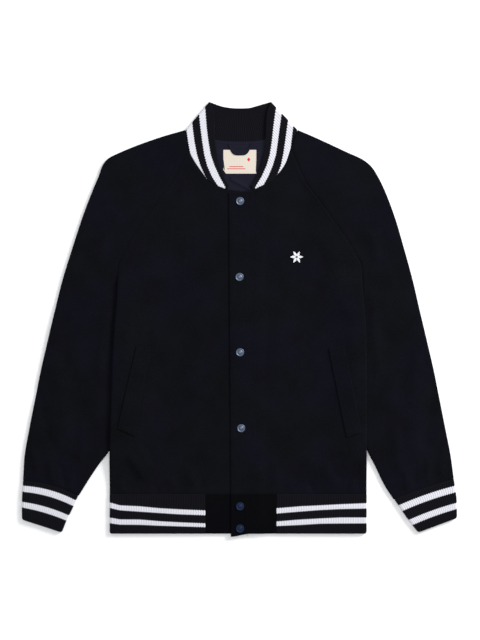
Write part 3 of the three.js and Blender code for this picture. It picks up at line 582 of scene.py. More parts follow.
def front_sheet(side):
    """Mid surface of a front, with its placket edge first."""
    rows = body_rows()
    height = over_front_height if side == "left" else body_front_height
    inner, edge, way, bend = front_lines(side, rows)
    flat = spread(0, 1, 240, mm("grid"), (True, False))
    turn = np.linspace(0, 1, 9)[1:]
    fold = edge - way * fold_inset()
    plan = inner[:, None] + (fold - inner)[:, None] * flat[None, :, None]
    top_z = height(fold[:, 0], fold[:, 1])
    bottom_z = top_z - front_mid() + mm("cloth_wall") / 2
    return side_by_side(
        flat_at(plan, height(plan[..., 0], plan[..., 1]), 1),
        seam_edge(edge, way, top_z, bottom_z, turn, bend, "top"),
    )


def back_sheet():
    """Mid surface of the back, which lies on the floor with its outer face down."""
    rows = body_rows()
    share = rows - 1
    below = (rows <= 1)[:, None]
    edges = {}
    for side in ("right", "left"):
        sign = sign_of(side)
        at_side = body_side_line(side, rows)
        at_raglan = OUTLINES[side]["raglan_back"].beside(mix(1, 0.01, share), sign * LAP / 2)
        edges[side] = np.where(below, at_side, at_raglan)
    bend = np.where(rows <= 1, 1, near_underarm(share))
    way = unit(edges["left"] - edges["right"])

    def to_neck_line(plan):
        weight = np.reshape(smooth((rows - 1.6) / 0.4), (-1, *(1,) * (plan.ndim - 2)))
        shift = (back_neck_dip(plan[..., 0]) - LAP / 2) * weight
        return np.stack([plan[..., 0], plan[..., 1] - shift], -1)

    def side_columns(side, outward, turn):
        fold = edges[side] - outward * fold_inset()
        bottom_z = back_height(fold[:, 0], fold[:, 1])
        top_z = bottom_z + front_mid() - mm("cloth_wall") / 2
        return seam_edge(to_neck_line(edges[side]), outward, top_z, bottom_z, turn, bend, "bottom")

    folds = [edges["right"] + way * fold_inset(), edges["left"] - way * fold_inset()]
    flat = spread(0, 1, 470, mm("grid") * 1.15)
    plan = to_neck_line(folds[0][:, None] + (folds[1] - folds[0])[:, None] * flat[None, :, None])
    turn = np.linspace(0, 1, 9)[1:]
    return side_by_side(
        side_columns("right", -way, turn[::-1]),
        flat_at(plan, back_height(plan[..., 0], plan[..., 1]), -1),
        side_columns("left", way, turn),
    )


def cuff_bow(side, way, share, weight):
    """How far the seam between sleeve and cuff bows up the sleeve, at shares of its width."""
    sign = sign_of(side)
    up = np.stack([-sign * way[:, 1], sign * way[:, 0]], -1)
    return up[:, None] * (CUFF_BOW[side] * 4 * share * (1 - share))[None, :, None] * weight[:, None, None]


def sleeve_rows():
    """Rows of a sleeve from the neck (0) to the underarm (1) and on to the cuff (2)."""
    pitch = mm("grid")
    return joined(spread(0, 1, 285, pitch, (True, False)), spread(1, 2, 525, pitch, (False, True)))


def sleeve_sheet(side):
    """Mid surface of a sleeve: front seam, upper layer, outer fold, under layer, back seam."""
    rows = sleeve_rows()
    lines = OUTLINES[side]
    sign = sign_of(side)
    floor_z = mm("cloth_wall") / 2
    top_z = front_mid()
    above = (rows <= 1)[:, None]
    outer = np.where(
        above,
        lines["sleeve_outer"](mix(0.001, UNDERARM_OUTER_SHARE, rows)),
        lines["sleeve_outer"](mix(UNDERARM_OUTER_SHARE, 1, rows - 1)),
    )
    under_body = LAP / 2 + ARM_LAP * smooth((rows - ARM_LAP_START) / ARM_LAP_FADE)
    on_arm = lines["sleeve_inner"](mix(0, 1, rows - 1)) - [[sign, 0]] * under_body[:, None]
    bend = np.where(rows >= 1, 1, near_underarm(1 - rows))
    neck_share = lines["neck"].nearest_share(SIDES[side]["raglan"][0])
    back_neck_share = BACK_NECK_FULL.nearest_share(SIDES[side]["raglan_back"][0])
    back_neck_end = 1 if side == "left" else 0

    def inner_line(seam):
        on_seam = seam.beside(mix(0.003, 1, rows), -sign * LAP / 2)
        return np.where((rows < 1)[:, None], on_seam - [[sign, 0]] * (under_body - LAP / 2)[:, None], on_arm)

    def neck_bow(line, start, end, across):
        """The neck end follows the curved neck seam, not a straight row."""
        straight = between(line(start), line(end), across)
        bow = line(mix(start, end, across)) - straight
        return bow[None] * (1 - smooth(rows / 0.3))[:, None, None]

    def cuff_end(way):
        """The cuff end follows the bowed seam and runs a little way under the cuff's edge."""
        lap = np.stack([-sign * way[:, 1], sign * way[:, 0]], -1) * LAP
        last = smooth((rows - 1.97) / 0.03)[:, None, None]
        near_cuff = smooth((rows - 2 + CUFF_BOW_ROWS) / CUFF_BOW_ROWS)
        return cuff_bow(side, way, flat, near_cuff) - lap[:, None] * last

    flat = spread(0, 1, 130, mm("grid"))
    turn = np.linspace(0, 1, 9)[1:]
    inner = inner_line(lines["raglan"])
    way = unit(outer - inner)
    inner_fold = inner + way * fold_inset()
    outer_fold = outer - way * fold_inset()
    plan = inner_fold[:, None] + (outer_fold - inner_fold)[:, None] * flat[None, :, None]
    fade = np.where((rows >= 1)[:, None], smooth(flat / 0.3)[None], 1)
    upper = flat_at(
        plan + neck_bow(lines["neck"], neck_share, 1, flat) + cuff_end(way),
        top_z + sleeve_fold(plan[..., 0], plan[..., 1]) * fade,
        1,
    )
    seam_top = top_z + sleeve_fold(inner_fold[:, 0], inner_fold[:, 1]) * fade[:, 0]
    front_seam = seam_edge(inner, -way, seam_top, np.full(len(rows), floor_z), turn[::-1], bend, "top")
    outer_top = top_z + sleeve_fold(outer_fold[:, 0], outer_fold[:, 1])
    under_inner = inner_line(lines["raglan_back"])
    under_way = unit(outer - under_inner)
    degrees = np.linspace(0, 180, 13)[1:-1]
    fold = turned(outer, way, outer_top, np.full(len(rows), floor_z), mm("cloth_wall"), degrees)
    under_folds = [outer - under_way * fold_inset(), under_inner + under_way * fold_inset()]
    under_plan = under_folds[0][:, None] + (under_folds[1] - under_folds[0])[:, None] * flat[None, :, None]
    dents = crease_height(UNDER_DENTS, under_plan[..., 0], under_plan[..., 1])
    under = flat_at(
        under_plan + neck_bow(BACK_NECK_FULL, back_neck_end, back_neck_share, flat) + cuff_end(under_way),
        floor_z + dents * smooth(flat / 0.15) * smooth((1 - flat) / 0.15),
        -1,
    )
    back_seam = seam_edge(
        under_inner, -under_way, np.full(len(rows), top_z), np.full(len(rows), floor_z), turn, bend, "bottom",
    )
    return side_by_side(front_seam, upper, fold, under, back_seam)


def piece_marks(at, tube=False):
    """Distance in mm of each point from the nearest free edge of its sheet."""
    def run(points, axis):
        step = np.linalg.norm(np.diff(points, axis=axis), axis=-1)
        start = np.zeros_like(np.take(step, [0], axis))
        forth = np.concatenate([start, np.cumsum(step, axis)], axis)
        return np.minimum(forth, np.take(forth, [-1], axis) - forth)

    gap = run(at, 0)
    return gap if tube else np.minimum(gap, run(at, 1))


def rounded_half(gap, wall, soft):
    """Half the wall's thickness, rounded off towards its free edges."""
    share = np.clip(gap / soft, 0, 1)
    return np.maximum(wall / 2 * np.sqrt(1 - (1 - share) ** 2), 0.03)


def new_object(name, points, faces, marks, material):
    """A mesh in metres with its place in its points, smooth, with float or vector marks on its points."""
    mesh = bpy.data.meshes.new(name)
    mesh.from_pydata((np.asarray(points) / 1000).tolist(), [], np.asarray(faces).tolist())
    for mark, values in marks.items():
        values = np.asarray(values, np.float32)
        kind = "FLOAT_VECTOR" if values.ndim == 2 else "FLOAT"
        data = mesh.attributes.new(mark, kind, "POINT").data
        data.foreach_set("vector" if values.ndim == 2 else "value", values.ravel())
    mesh.materials.append(material)
    mesh.shade_smooth()
    mesh.validate()
    obj = bpy.data.objects.new(name, mesh)
    bpy.context.scene.collection.objects.link(obj)
    return obj


def grid_faces(rows, columns, tube):
    ids = np.arange(rows * columns).reshape(rows, columns)
    if tube:
        ids = np.concatenate([ids, ids[:, :1]], 1)
    return np.stack([ids[:-1, :-1], ids[1:, :-1], ids[1:, 1:], ids[:-1, 1:]], -1).reshape(-1, 4)


def wall_faces(rows, columns, tube):
    """Faces of a closed wall whose upper points come before its under points."""
    count = rows * columns
    upper = grid_faces(rows, columns, tube)
    under = upper[:, ::-1] + count
    ids = np.arange(count).reshape(rows, columns)
    top, bottom = (np.r_[line, line[:1]] if tube else line for line in (ids[0], ids[-1]))
    rims = [
        np.stack([top[:-1], top[1:], top[1:] + count, top[:-1] + count], -1),
        np.stack([bottom[1:], bottom[:-1], bottom[:-1] + count, bottom[1:] + count], -1),
    ]
    if not tube:
        first, last = ids[:, 0], ids[:, -1]
        rims.append(np.stack([first[1:], first[:-1], first[:-1] + count, first[1:] + count], -1))
        rims.append(np.stack([last[:-1], last[1:], last[1:] + count, last[:-1] + count], -1))
    return np.concatenate([upper, under, *rims])


def outward(points, faces):
    """The faces of a closed shell, turned so that they look outward."""
    corners = points[faces[:, :3]]
    volume = np.einsum("ij,ij->i", corners[:, 0], np.cross(corners[:, 1], corners[:, 2])).sum()
    last = points[faces[:, [0, 2, 3]]] if faces.shape[1] == 4 else corners[:0]
    volume += np.einsum("ij,ij->i", last[:, 0], np.cross(last[:, 1], last[:, 2])).sum()
    return faces if volume > 0 else faces[:, ::-1]


def seam_swell(gap, out):
    """Cloth that faces up dips at a seam and swells beside it."""
    swell = 0.3 * np.exp(-((gap - 7) / 4) ** 2) - 0.35 * np.exp(-(gap / 2.5) ** 2)
    return (swell * smooth(out[..., 2]))[..., None] * [0, 0, 1]


def cloth_wall(name, at, out, wall, material, soft=1.4, tube=False, marks=None, swells=False):
    """A closed wall of cloth round a mid surface, with soft rounded edges."""
    gap = piece_marks(at, tube)
    at = at + seam_swell(gap, out) if swells else at
    half = rounded_half(gap, wall, soft)[..., None]
    points = np.concatenate([(at + out * half).reshape(-1, 3), (at - out * half).reshape(-1, 3)])
    faces = outward(points, wall_faces(*at.shape[:2], tube))
    flat_marks = {}
    for mark, (upper, under) in (marks or {}).items():
        pair = [np.broadcast_to(values, (*at.shape[:2], *np.shape(values)[2:])) for values in (upper, under)]
        flat_marks[mark] = np.concatenate([values.reshape(-1, *values.shape[2:]) for values in pair])
    return new_object(name, points, faces, flat_marks, material)


def declare(obj, node):
    """Ties a finished piece to the frame, and hides the CAD part that it stands for."""
    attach(obj, "root")
    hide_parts(node)
    return obj


def add(tree, kind, inputs=None, **settings):
    """Adds a node with its settings, and sets or links its inputs."""
    node = tree.nodes.new(kind)
    for name, value in settings.items():
        setattr(node, name, value)
    for socket, value in (inputs or {}).items():
        if isinstance(value, bpy.types.NodeSocket):
            tree.links.new(value, node.inputs[socket])
        else:
            node.inputs[socket].default_value = value
    return node


def new_material(name, **sockets):
    """A material with one Principled shader, and its node tree and shader."""
    old = bpy.data.materials.get(name)
    if old:
        return old, None, None
    material = bpy.data.materials.new(name)
    material.use_nodes = True
    tree = material.node_tree
    shader = tree.nodes["Principled BSDF"]
    for socket, value in sockets.items():
        shader.inputs[socket.replace("_", " ")].default_value = value
    return material, tree, shader


def shades(tree, factor, low, high, base):
    """A colour ramp from a darker to a lighter shade of one colour."""
    ramp = add(tree, "ShaderNodeValToRGB", {0: factor})
    for stop, scale in zip(ramp.color_ramp.elements, (low, high)):
        stop.color = (*(min(1.0, c * scale) for c in base[:3]), 1.0)
    return ramp


def melton_wool(name="melton_wool_fulled_nap", depth=1.0):
    """Melton: fulled wool with a short dull nap, so it is soft, matt and a little mottled."""
    material, tree, shader = new_material(
        name, Roughness=0.95, Specular_IOR_Level=0.043, Sheen_Weight=0.029, Sheen_Roughness=0.5,
    )
    if tree is None:
        return material
    shader.inputs["Sheen Tint"].default_value = (0.55, 0.58, 0.72, 1.0)
    at = add(tree, "ShaderNodeTexCoord").outputs["Object"]
    # Patches of about 60 mm, where the nap lies another way
    patches = add(tree, "ShaderNodeTexNoise", {
        "Vector": at, "Scale": 1 / 0.06, "Detail": 3.0, "Roughness": 0.6,
    })
    # Fibre clumps are under 1 mm and are drawn 3 mm wide, so that they show
    clumps = add(tree, "ShaderNodeTexNoise", {
        "Vector": at, "Scale": 1 / 0.003, "Detail": 2.0, "Roughness": 0.7,
    })
    share = add(tree, "ShaderNodeMix", {
        0: 0.5, 2: patches.outputs[0], 3: clumps.outputs[0],
    }, data_type="FLOAT")
    # depth scales the colour; below 1 it makes a darker copy of the wool with painted shade
    grey, blue = (
        shades(tree, share.outputs[0], 0.6 * depth, 1.4 * depth, colour(tone))
        for tone in ("wool", "wool_blue")
    )
    for ramp in (grey, blue):
        ramp.color_ramp.elements[0].position = 0.3
        ramp.color_ramp.elements[1].position = 0.7
    # The dye looks bluer in broad patches of about 120 mm
    cast = add(tree, "ShaderNodeTexNoise", {"Vector": at, "Scale": 1 / 0.12, "Detail": 2.0, "Roughness": 0.5})
    tone = add(tree, "ShaderNodeMapRange", {0: cast.outputs[0], 1: 0.42, 2: 0.6, 3: 0.0, 4: 1.0})
    both = add(tree, "ShaderNodeMix", {
        "Factor": tone.outputs[0], 6: grey.outputs[0], 7: blue.outputs[0],
    }, data_type="RGBA")
    tree.links.new(both.outputs[2], shader.inputs["Base Color"])
    # Nap hairs, drawn about 0.7 mm apart
    nap = add(tree, "ShaderNodeTexNoise", {
        "Vector": at, "Scale": 1 / 0.0007, "Detail": 3.0, "Roughness": 0.7,
    })
    fine = add(tree, "ShaderNodeBump", {"Height": nap.outputs[0], "Strength": 0.35, "Distance": 0.0004})
    soft = add(tree, "ShaderNodeBump", {
        "Height": clumps.outputs[0], "Strength": 0.4, "Distance": 0.0007, "Normal": fine.outputs[0],
    })
    tree.links.new(soft.outputs[0], shader.inputs["Normal"])
    return material


def rib_knit():
    """Acrylic rib knit: dull yarn in fine stitches, dark navy with white stripes knitted in."""
    material, tree, shader = new_material(
        "acrylic_rib_knit", Roughness=0.9, Specular_IOR_Level=0.071, Sheen_Weight=0.029, Sheen_Roughness=0.4,
    )
    if tree is None:
        return material
    phase = add(tree, "ShaderNodeAttribute", attribute_name="rib_phase").outputs["Fac"]
    course = add(tree, "ShaderNodeAttribute", attribute_name="course").outputs["Fac"]
    gap = add(tree, "ShaderNodeAttribute", attribute_name="stripe_gap").outputs["Fac"]
    at = add(tree, "ShaderNodeTexCoord").outputs["Object"]
    # A stripe starts a stitch later in the groove than on the rib, which saw-tooths its edge
    turn = add(tree, "ShaderNodeMath", {0: phase, 1: 2 * math.pi}, operation="MULTIPLY")
    wave = add(tree, "ShaderNodeMath", {0: turn.outputs[0]}, operation="COSINE")
    edge = add(tree, "ShaderNodeMath", {0: wave.outputs[0], 1: -0.55, 2: gap}, operation="MULTIPLY_ADD")
    mask = add(tree, "ShaderNodeMapRange", {0: edge.outputs[0], 1: -0.3, 2: 0.3, 3: 0.0, 4: 1.0})
    # Yarn fluff of about 2 mm
    fluff = add(tree, "ShaderNodeTexNoise", {
        "Vector": at, "Scale": 1 / 0.002, "Detail": 2.0, "Roughness": 0.6,
    })
    dark = shades(tree, fluff.outputs[0], 0.7, 1.4, colour("rib"))
    light = shades(tree, fluff.outputs[0], 0.93, 1.04, colour("stripe"))
    both = add(tree, "ShaderNodeMix", {
        "Factor": mask.outputs[0], 6: dark.outputs[0], 7: light.outputs[0],
    }, data_type="RGBA")
    # The groove between two ribs is darker, because little light reaches it
    groove = add(tree, "ShaderNodeMapRange", {0: wave.outputs[0], 1: -1.0, 2: 1.0, 3: 1.0, 4: 0.96})
    tinted = add(tree, "ShaderNodeVectorMath", {
        0: both.outputs[2], "Scale": groove.outputs[0],
    }, operation="SCALE")
    tree.links.new(tinted.outputs[0], shader.inputs["Base Color"])
    # Knitted courses lie 1.4 mm apart
    row = add(tree, "ShaderNodeMath", {0: course, 1: 2 * math.pi / 1.4}, operation="MULTIPLY")
    loops = add(tree, "ShaderNodeMath", {0: row.outputs[0]}, operation="SINE")
    bump = add(tree, "ShaderNodeBump", {"Height": loops.outputs[0], "Strength": 0.3, "Distance": 0.0003})
    soft = add(tree, "ShaderNodeBump", {
        "Height": fluff.outputs[0], "Strength": 0.3, "Distance": 0.0004, "Normal": bump.outputs[0],
    })
    tree.links.new(soft.outputs[0], shader.inputs["Normal"])
    return material


def navy_satin():
    """Satin lining: smooth filament yarn, so it is bluer and shinier than the wool."""
    material, tree, shader = new_material(
        "navy_satin_lining", Roughness=0.55, Specular_IOR_Level=0.071,
        Sheen_Weight=0.014, Sheen_Roughness=0.3,
    )
    if tree is None:
        return material
    at = add(tree, "ShaderNodeTexCoord").outputs["Object"]
    # Warp threads of 0.3 mm are drawn 1 mm wide, so that they show, and run down the jacket
    run = add(tree, "ShaderNodeMapping", {"Vector": at, "Scale": (1000.0, 60.0, 60.0)})
    warp = add(tree, "ShaderNodeTexNoise", {"Vector": run.outputs[0], "Scale": 1.0, "Detail": 2.0})
    # Soft patches of about 25 mm, where the satin turns to the light
    patches = add(tree, "ShaderNodeTexNoise", {"Vector": at, "Scale": 1 / 0.025, "Detail": 2.0})
    share = add(tree, "ShaderNodeMix", {0: 0.5, 2: patches.outputs[0], 3: warp.outputs[0]}, data_type="FLOAT")
    ramp = shades(tree, share.outputs[0], 0.5, 1.6, colour("lining"))
    tree.links.new(ramp.outputs[0], shader.inputs["Base Color"])
    bump = add(tree, "ShaderNodeBump", {"Height": warp.outputs[0], "Strength": 0.25, "Distance": 0.0002})
    tree.links.new(bump.outputs[0], shader.inputs["Normal"])
    return material


def label_cotton():
    """Woven cotton label: matt cream threads, with thin red threads woven in."""
    material, tree, shader = new_material("cream_cotton_label", Roughness=0.8, Specular_IOR_Level=0.3)
    if tree is None:
        return material
    at = add(tree, "ShaderNodeTexCoord").outputs["Object"]
    gap = add(tree, "ShaderNodeAttribute", attribute_name="motif_gap").outputs["Fac"]
    mask = add(tree, "ShaderNodeMapRange", {0: gap, 1: -0.12, 2: 0.12, 3: 0.0, 4: 1.0})
    # Weft and warp threads lie 0.8 mm apart
    weft = add(tree, "ShaderNodeTexWave", {
        "Vector": at, "Scale": 1 / 0.0008 / 20, "Distortion": 0.4,
    }, bands_direction="Y")
    warp = add(tree, "ShaderNodeTexWave", {
        "Vector": at, "Scale": 1 / 0.0008 / 20, "Distortion": 0.4,
    }, bands_direction="X")
    weave = add(tree, "ShaderNodeMath", {
        0: weft.outputs["Fac"], 1: warp.outputs["Fac"],
    }, operation="MULTIPLY")
    cream = shades(tree, weave.outputs[0], 0.97, 1.02, colour("label"))
    red = shades(tree, weave.outputs[0], 0.85, 1.1, colour("label_thread"))
    both = add(tree, "ShaderNodeMix", {
        "Factor": mask.outputs[0], 6: cream.outputs[0], 7: red.outputs[0],
    }, data_type="RGBA")
    tree.links.new(both.outputs[2], shader.inputs["Base Color"])
    bump = add(tree, "ShaderNodeBump", {"Height": weave.outputs[0], "Strength": 0.1, "Distance": 0.0002})
    tree.links.new(bump.outputs[0], shader.inputs["Normal"])
    return material


def sewing_thread(name, colour_name):
    """Twisted polyester thread: a little shinier than the cloth it lies on."""
    material, tree, shader = new_material(name, Roughness=0.65, Specular_IOR_Level=0.086)
    if tree is None:
        return material
    at = add(tree, "ShaderNodeTexCoord").outputs["Object"]
    # Twist of about 0.6 mm
    twist = add(tree, "ShaderNodeTexNoise", {"Vector": at, "Scale": 1 / 0.0006, "Detail": 1.0})
    ramp = shades(tree, twist.outputs[0], 0.8, 1.2, colour(colour_name))
    tree.links.new(ramp.outputs[0], shader.inputs["Base Color"])
    bump = add(tree, "ShaderNodeBump", {"Height": twist.outputs[0], "Strength": 0.3, "Distance": 0.0001})
    tree.links.new(bump.outputs[0], shader.inputs["Normal"])
    return material


def snap_metal():
    """Cast pewter-coloured snap caps, tumbled: satin metal with faint, uneven marks."""
    material, tree, shader = new_material("tumbled_pewter_snap", Metallic=1.0, Roughness=0.34)
    if tree is None:
        return material
    at = add(tree, "ShaderNodeTexCoord").outputs["Object"]
    # Tumbling marks of about 1 mm
    marks = add(tree, "ShaderNodeTexNoise", {"Vector": at, "Scale": 1 / 0.001, "Detail": 3.0})
    ramp = shades(tree, marks.outputs[0], 0.9, 1.1, colour("pewter"))
    tree.links.new(ramp.outputs[0], shader.inputs["Base Color"])
    rough = add(tree, "ShaderNodeMapRange", {0: marks.outputs[0], 3: 0.42, 4: 0.5})
    tree.links.new(rough.outputs[0], shader.inputs["Roughness"])
    bump = add(tree, "ShaderNodeBump", {"Height": marks.outputs[0], "Strength": 0.06, "Distance": 0.0001})
    tree.links.new(bump.outputs[0], shader.inputs["Normal"])
    return material


def snap_enamel():
    """Stoved enamel on the hem snaps: dark navy, satin, worn a little dull."""
    material, tree, shader = new_material(
        "stoved_navy_enamel", Roughness=0.45, Specular_IOR_Level=0.1, Coat_Weight=0.029, Coat_Roughness=0.2,
    )
    if tree is None:
        return material
    at = add(tree, "ShaderNodeTexCoord").outputs["Object"]
    # Orange peel of about 1.5 mm
    peel = add(tree, "ShaderNodeTexNoise", {"Vector": at, "Scale": 1 / 0.0015, "Detail": 1.0})
    ramp = shades(tree, peel.outputs[0], 0.8, 1.25, colour("enamel"))
    tree.links.new(ramp.outputs[0], shader.inputs["Base Color"])
    bump = add(tree, "ShaderNodeBump", {"Height": peel.outputs[0], "Strength": 0.1, "Distance": 0.0001})
    tree.links.new(bump.outputs[0], shader.inputs["Normal"])
    return material


def floor_paper():
    """Matt background paper: white, with no gloss, so that only soft shade shows on it."""
    material, tree, shader = new_material("white_backdrop_paper", Roughness=0.9, Specular_IOR_Level=0.1)
    if tree is None:
        return material
    at = add(tree, "ShaderNodeTexCoord").outputs["Object"]
    # Paper grain of about 4 mm
    grain = add(tree, "ShaderNodeTexNoise", {"Vector": at, "Scale": 1 / 0.004, "Detail": 2.0})
    ramp = shades(tree, grain.outputs[0], 0.99, 1.01, colour("floor"))
    tree.links.new(ramp.outputs[0], shader.inputs["Base Color"])
    return material


def new_tree(name, sockets):
    """A Geometry Nodes tree with named inputs after its geometry, and its group input and output."""
    tree = bpy.data.node_groups.new(name, "GeometryNodeTree")
    tree.interface.new_socket("Geometry", in_out="INPUT", socket_type="NodeSocketGeometry")
    for title, kind, default in sockets:
        socket = tree.interface.new_socket(title, in_out="INPUT", socket_type=kind)
        if default is not None:
            socket.default_value = default
    tree.interface.new_socket("Geometry", in_out="OUTPUT", socket_type="NodeSocketGeometry")
    return tree, add(tree, "NodeGroupInput").outputs


def finish_tree(tree, geometry, material):
    """Ends a tree in Realize Instances and Set Material."""
    real = add(tree, "GeometryNodeRealizeInstances", {0: geometry})
    dressed = add(tree, "GeometryNodeSetMaterial", {"Geometry": real.outputs[0], "Material": material})
    add(tree, "NodeGroupOutput", {0: dressed.outputs[0]})
    return tree


def rib_relief_tree():
    """Raises ribs along a sheet from its marks: rib_phase counts ribs, rib_way points out of the face."""
    found = bpy.data.node_groups.get("rib_relief")
    if found:
        return found
    tree, given = new_tree("rib_relief", (
        ("Relief", "NodeSocketFloat", 0.0007),
        ("Material", "NodeSocketMaterial", None),
    ))
    phase = add(tree, "GeometryNodeInputNamedAttribute", {"Name": "rib_phase"}, data_type="FLOAT").outputs[0]
    sink = add(tree, "GeometryNodeInputNamedAttribute", {"Name": "rib_sink"}, data_type="FLOAT").outputs[0]
    way = add(tree, "GeometryNodeInputNamedAttribute", {
        "Name": "rib_way",
    }, data_type="FLOAT_VECTOR").outputs[0]
    turn = add(tree, "ShaderNodeMath", {0: phase, 1: 2 * math.pi}, operation="MULTIPLY")
    wave = add(tree, "ShaderNodeMath", {0: turn.outputs[0]}, operation="COSINE")
    crest = add(tree, "ShaderNodeMath", {0: wave.outputs[0], 1: -0.5, 2: 0.5}, operation="MULTIPLY_ADD")
    sunk = add(tree, "ShaderNodeMath", {0: crest.outputs[0], 1: sink}, operation="SUBTRACT")
    height = add(tree, "ShaderNodeMath", {0: sunk.outputs[0], 1: given["Relief"]}, operation="MULTIPLY")
    offset = add(tree, "ShaderNodeVectorMath", {0: way, "Scale": height.outputs[0]}, operation="SCALE")
    moved = add(tree, "GeometryNodeSetPosition", {"Geometry": given["Geometry"], "Offset": offset.outputs[0]})
    return finish_tree(tree, moved.outputs[0], given["Material"])


def stitch_run_tree():
    """Lays thread stitches along the edges of a mesh, one pitch apart."""
    found = bpy.data.node_groups.get("stitch_run")
    if found:
        return found
    tree, given = new_tree("stitch_run", (
        ("Pitch", "NodeSocketFloat", 0.0033),
        ("Stitch", "NodeSocketFloat", 0.0026),
        ("Thread", "NodeSocketFloat", 0.0006),
        ("Material", "NodeSocketMaterial", None),
    ))
    line = add(tree, "GeometryNodeMeshToCurve", {"Mesh": given["Geometry"]})
    even = add(tree, "GeometryNodeResampleCurve", {
        "Curve": line.outputs[0], "Length": given["Pitch"],
    }, mode="LENGTH")
    tangent = add(tree, "GeometryNodeInputTangent")
    turn = add(tree, "FunctionNodeAlignRotationToVector", {"Vector": tangent.outputs[0]}, axis="X")
    ball = add(tree, "GeometryNodeMeshUVSphere", {"Segments": 6, "Rings": 5, "Radius": 0.5})
    size = add(tree, "ShaderNodeCombineXYZ", {0: given["Stitch"], 1: given["Thread"], 2: given["Thread"]})
    thread = add(tree, "GeometryNodeTransform", {"Geometry": ball.outputs[0], "Scale": size.outputs[0]})
    laid = add(tree, "GeometryNodeInstanceOnPoints", {
        "Points": even.outputs[0], "Instance": thread.outputs[0], "Rotation": turn.outputs[0],
    })
    return finish_tree(tree, laid.outputs[0], given["Material"])


def satin_petal_tree():
    """Fills a ring of petals with satin stitches laid side by side, round the points of a mesh."""
    found = bpy.data.node_groups.get("satin_petals")
    if found:
        return found
    tree, given = new_tree("satin_petals", (
        ("Petals", "NodeSocketInt", 8),
        ("Petal length", "NodeSocketFloat", 0.0105),
        ("Petal width", "NodeSocketFloat", 0.0062),
        ("Thread", "NodeSocketFloat", 0.0007),
        ("Material", "NodeSocketMaterial", None),
    ))
    stitches = 15
    inner_share = 0.14
    # A row of points along one petal, each with a stitch across it
    start = add(tree, "ShaderNodeMath", {0: given["Petal length"], 1: inner_share}, operation="MULTIPLY")
    step = add(tree, "ShaderNodeMath", {
        0: given["Petal length"], 1: (1 - inner_share) / stitches,
    }, operation="MULTIPLY")
    first = add(tree, "ShaderNodeCombineXYZ", {0: start.outputs[0]})
    stride = add(tree, "ShaderNodeCombineXYZ", {0: step.outputs[0]})
    row = add(tree, "GeometryNodeMeshLine", {
        "Count": stitches, "Start Location": first.outputs[0], "Offset": stride.outputs[0],
    })
    index = add(tree, "GeometryNodeInputIndex")
    share = add(tree, "ShaderNodeMath", {0: index.outputs[0], 1: stitches}, operation="DIVIDE")
    bend = add(tree, "ShaderNodeMath", {0: share.outputs[0], 1: 0.7}, operation="POWER")
    turn = add(tree, "ShaderNodeMath", {0: bend.outputs[0], 1: math.pi}, operation="MULTIPLY")
    swell = add(tree, "ShaderNodeMath", {0: turn.outputs[0]}, operation="SINE")
    full = add(tree, "ShaderNodeMath", {0: swell.outputs[0], 1: given["Petal width"]}, operation="MULTIPLY")
    width = add(tree, "ShaderNodeMath", {0: full.outputs[0], 1: given["Thread"]}, operation="ADD")
    ball = add(tree, "GeometryNodeMeshUVSphere", {"Segments": 6, "Rings": 5, "Radius": 0.5})
    size = add(tree, "ShaderNodeCombineXYZ", {0: given["Thread"], 1: width.outputs[0], 2: given["Thread"]})
    petal = add(tree, "GeometryNodeInstanceOnPoints", {
        "Points": row.outputs[0], "Instance": ball.outputs[0], "Scale": size.outputs[0],
    })
    # The ring of petals, each turned a share of a full turn
    ring = add(tree, "GeometryNodeMeshLine", {"Count": given["Petals"], "Offset": (0.0, 0.0, 0.0)})
    turned_by = add(tree, "ShaderNodeMath", {0: index.outputs[0], 1: given["Petals"]}, operation="DIVIDE")
    angle = add(tree, "ShaderNodeMath", {0: turned_by.outputs[0], 1: 2 * math.pi}, operation="MULTIPLY")
    rotation = add(tree, "ShaderNodeCombineXYZ", {2: angle.outputs[0]})
    whole_petal = add(tree, "GeometryNodeRealizeInstances", {0: petal.outputs[0]})
    flower = add(tree, "GeometryNodeInstanceOnPoints", {
        "Points": ring.outputs[0], "Instance": whole_petal.outputs[0], "Rotation": rotation.outputs[0],
    })
    whole_flower = add(tree, "GeometryNodeRealizeInstances", {0: flower.outputs[0]})
    placed = add(tree, "GeometryNodeInstanceOnPoints", {
        "Points": given["Geometry"], "Instance": whole_flower.outputs[0],
    })
    return finish_tree(tree, placed.outputs[0], given["Material"])


def run_tree(obj, tree, inputs):
    """Runs a Geometry Nodes tree on an object and keeps its result as a plain mesh."""
    modifier = obj.modifiers.new(tree.name, "NODES")
    modifier.node_group = tree
    sockets = {item.name: item.identifier for item in tree.interface.items_tree if item.in_out == "INPUT"}
    for title, value in inputs.items():
        modifier[sockets[title]] = value
    depsgraph = bpy.context.evaluated_depsgraph_get()
    mesh = bpy.data.meshes.new_from_object(obj.evaluated_get(depsgraph))
    obj.modifiers.clear()
    old = obj.data
    obj.data = mesh
    bpy.data.meshes.remove(old)
    mesh.name = obj.name
    mesh.shade_smooth()
    return obj


def seam_stitches(name, runs, material, pitch=None, stitch=None, thread=None):
    """One piece of thread stitches along lists of points in mm."""
    mesh = bpy.data.meshes.new(name)
    points = np.concatenate(runs) / 1000
    edges = []
    start = 0
    for run in runs:
        edges += [(start + i, start + i + 1) for i in range(len(run) - 1)]
        start += len(run)
    mesh.from_pydata(points.tolist(), edges, [])
    obj = bpy.data.objects.new(name, mesh)
    bpy.context.scene.collection.objects.link(obj)
    sizes = bpy.context.scene.jacket_sizes
    run_tree(obj, stitch_run_tree(), {
        "Pitch": pitch or sizes.stitch_pitch,
        "Stitch": stitch or sizes.stitch,
        "Thread": thread or sizes.thread,
        "Material": material,
    })
    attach(obj, "root")
    return obj


def on_front(plan, height, rise=0.0):
    """Points in mm on the upper face of a front, at plan points."""
    plan = np.asarray(plan, float)
    z = height(plan[:, 0], plan[:, 1]) + mm("cloth_wall") / 2 + rise
    return np.column_stack([plan, z])


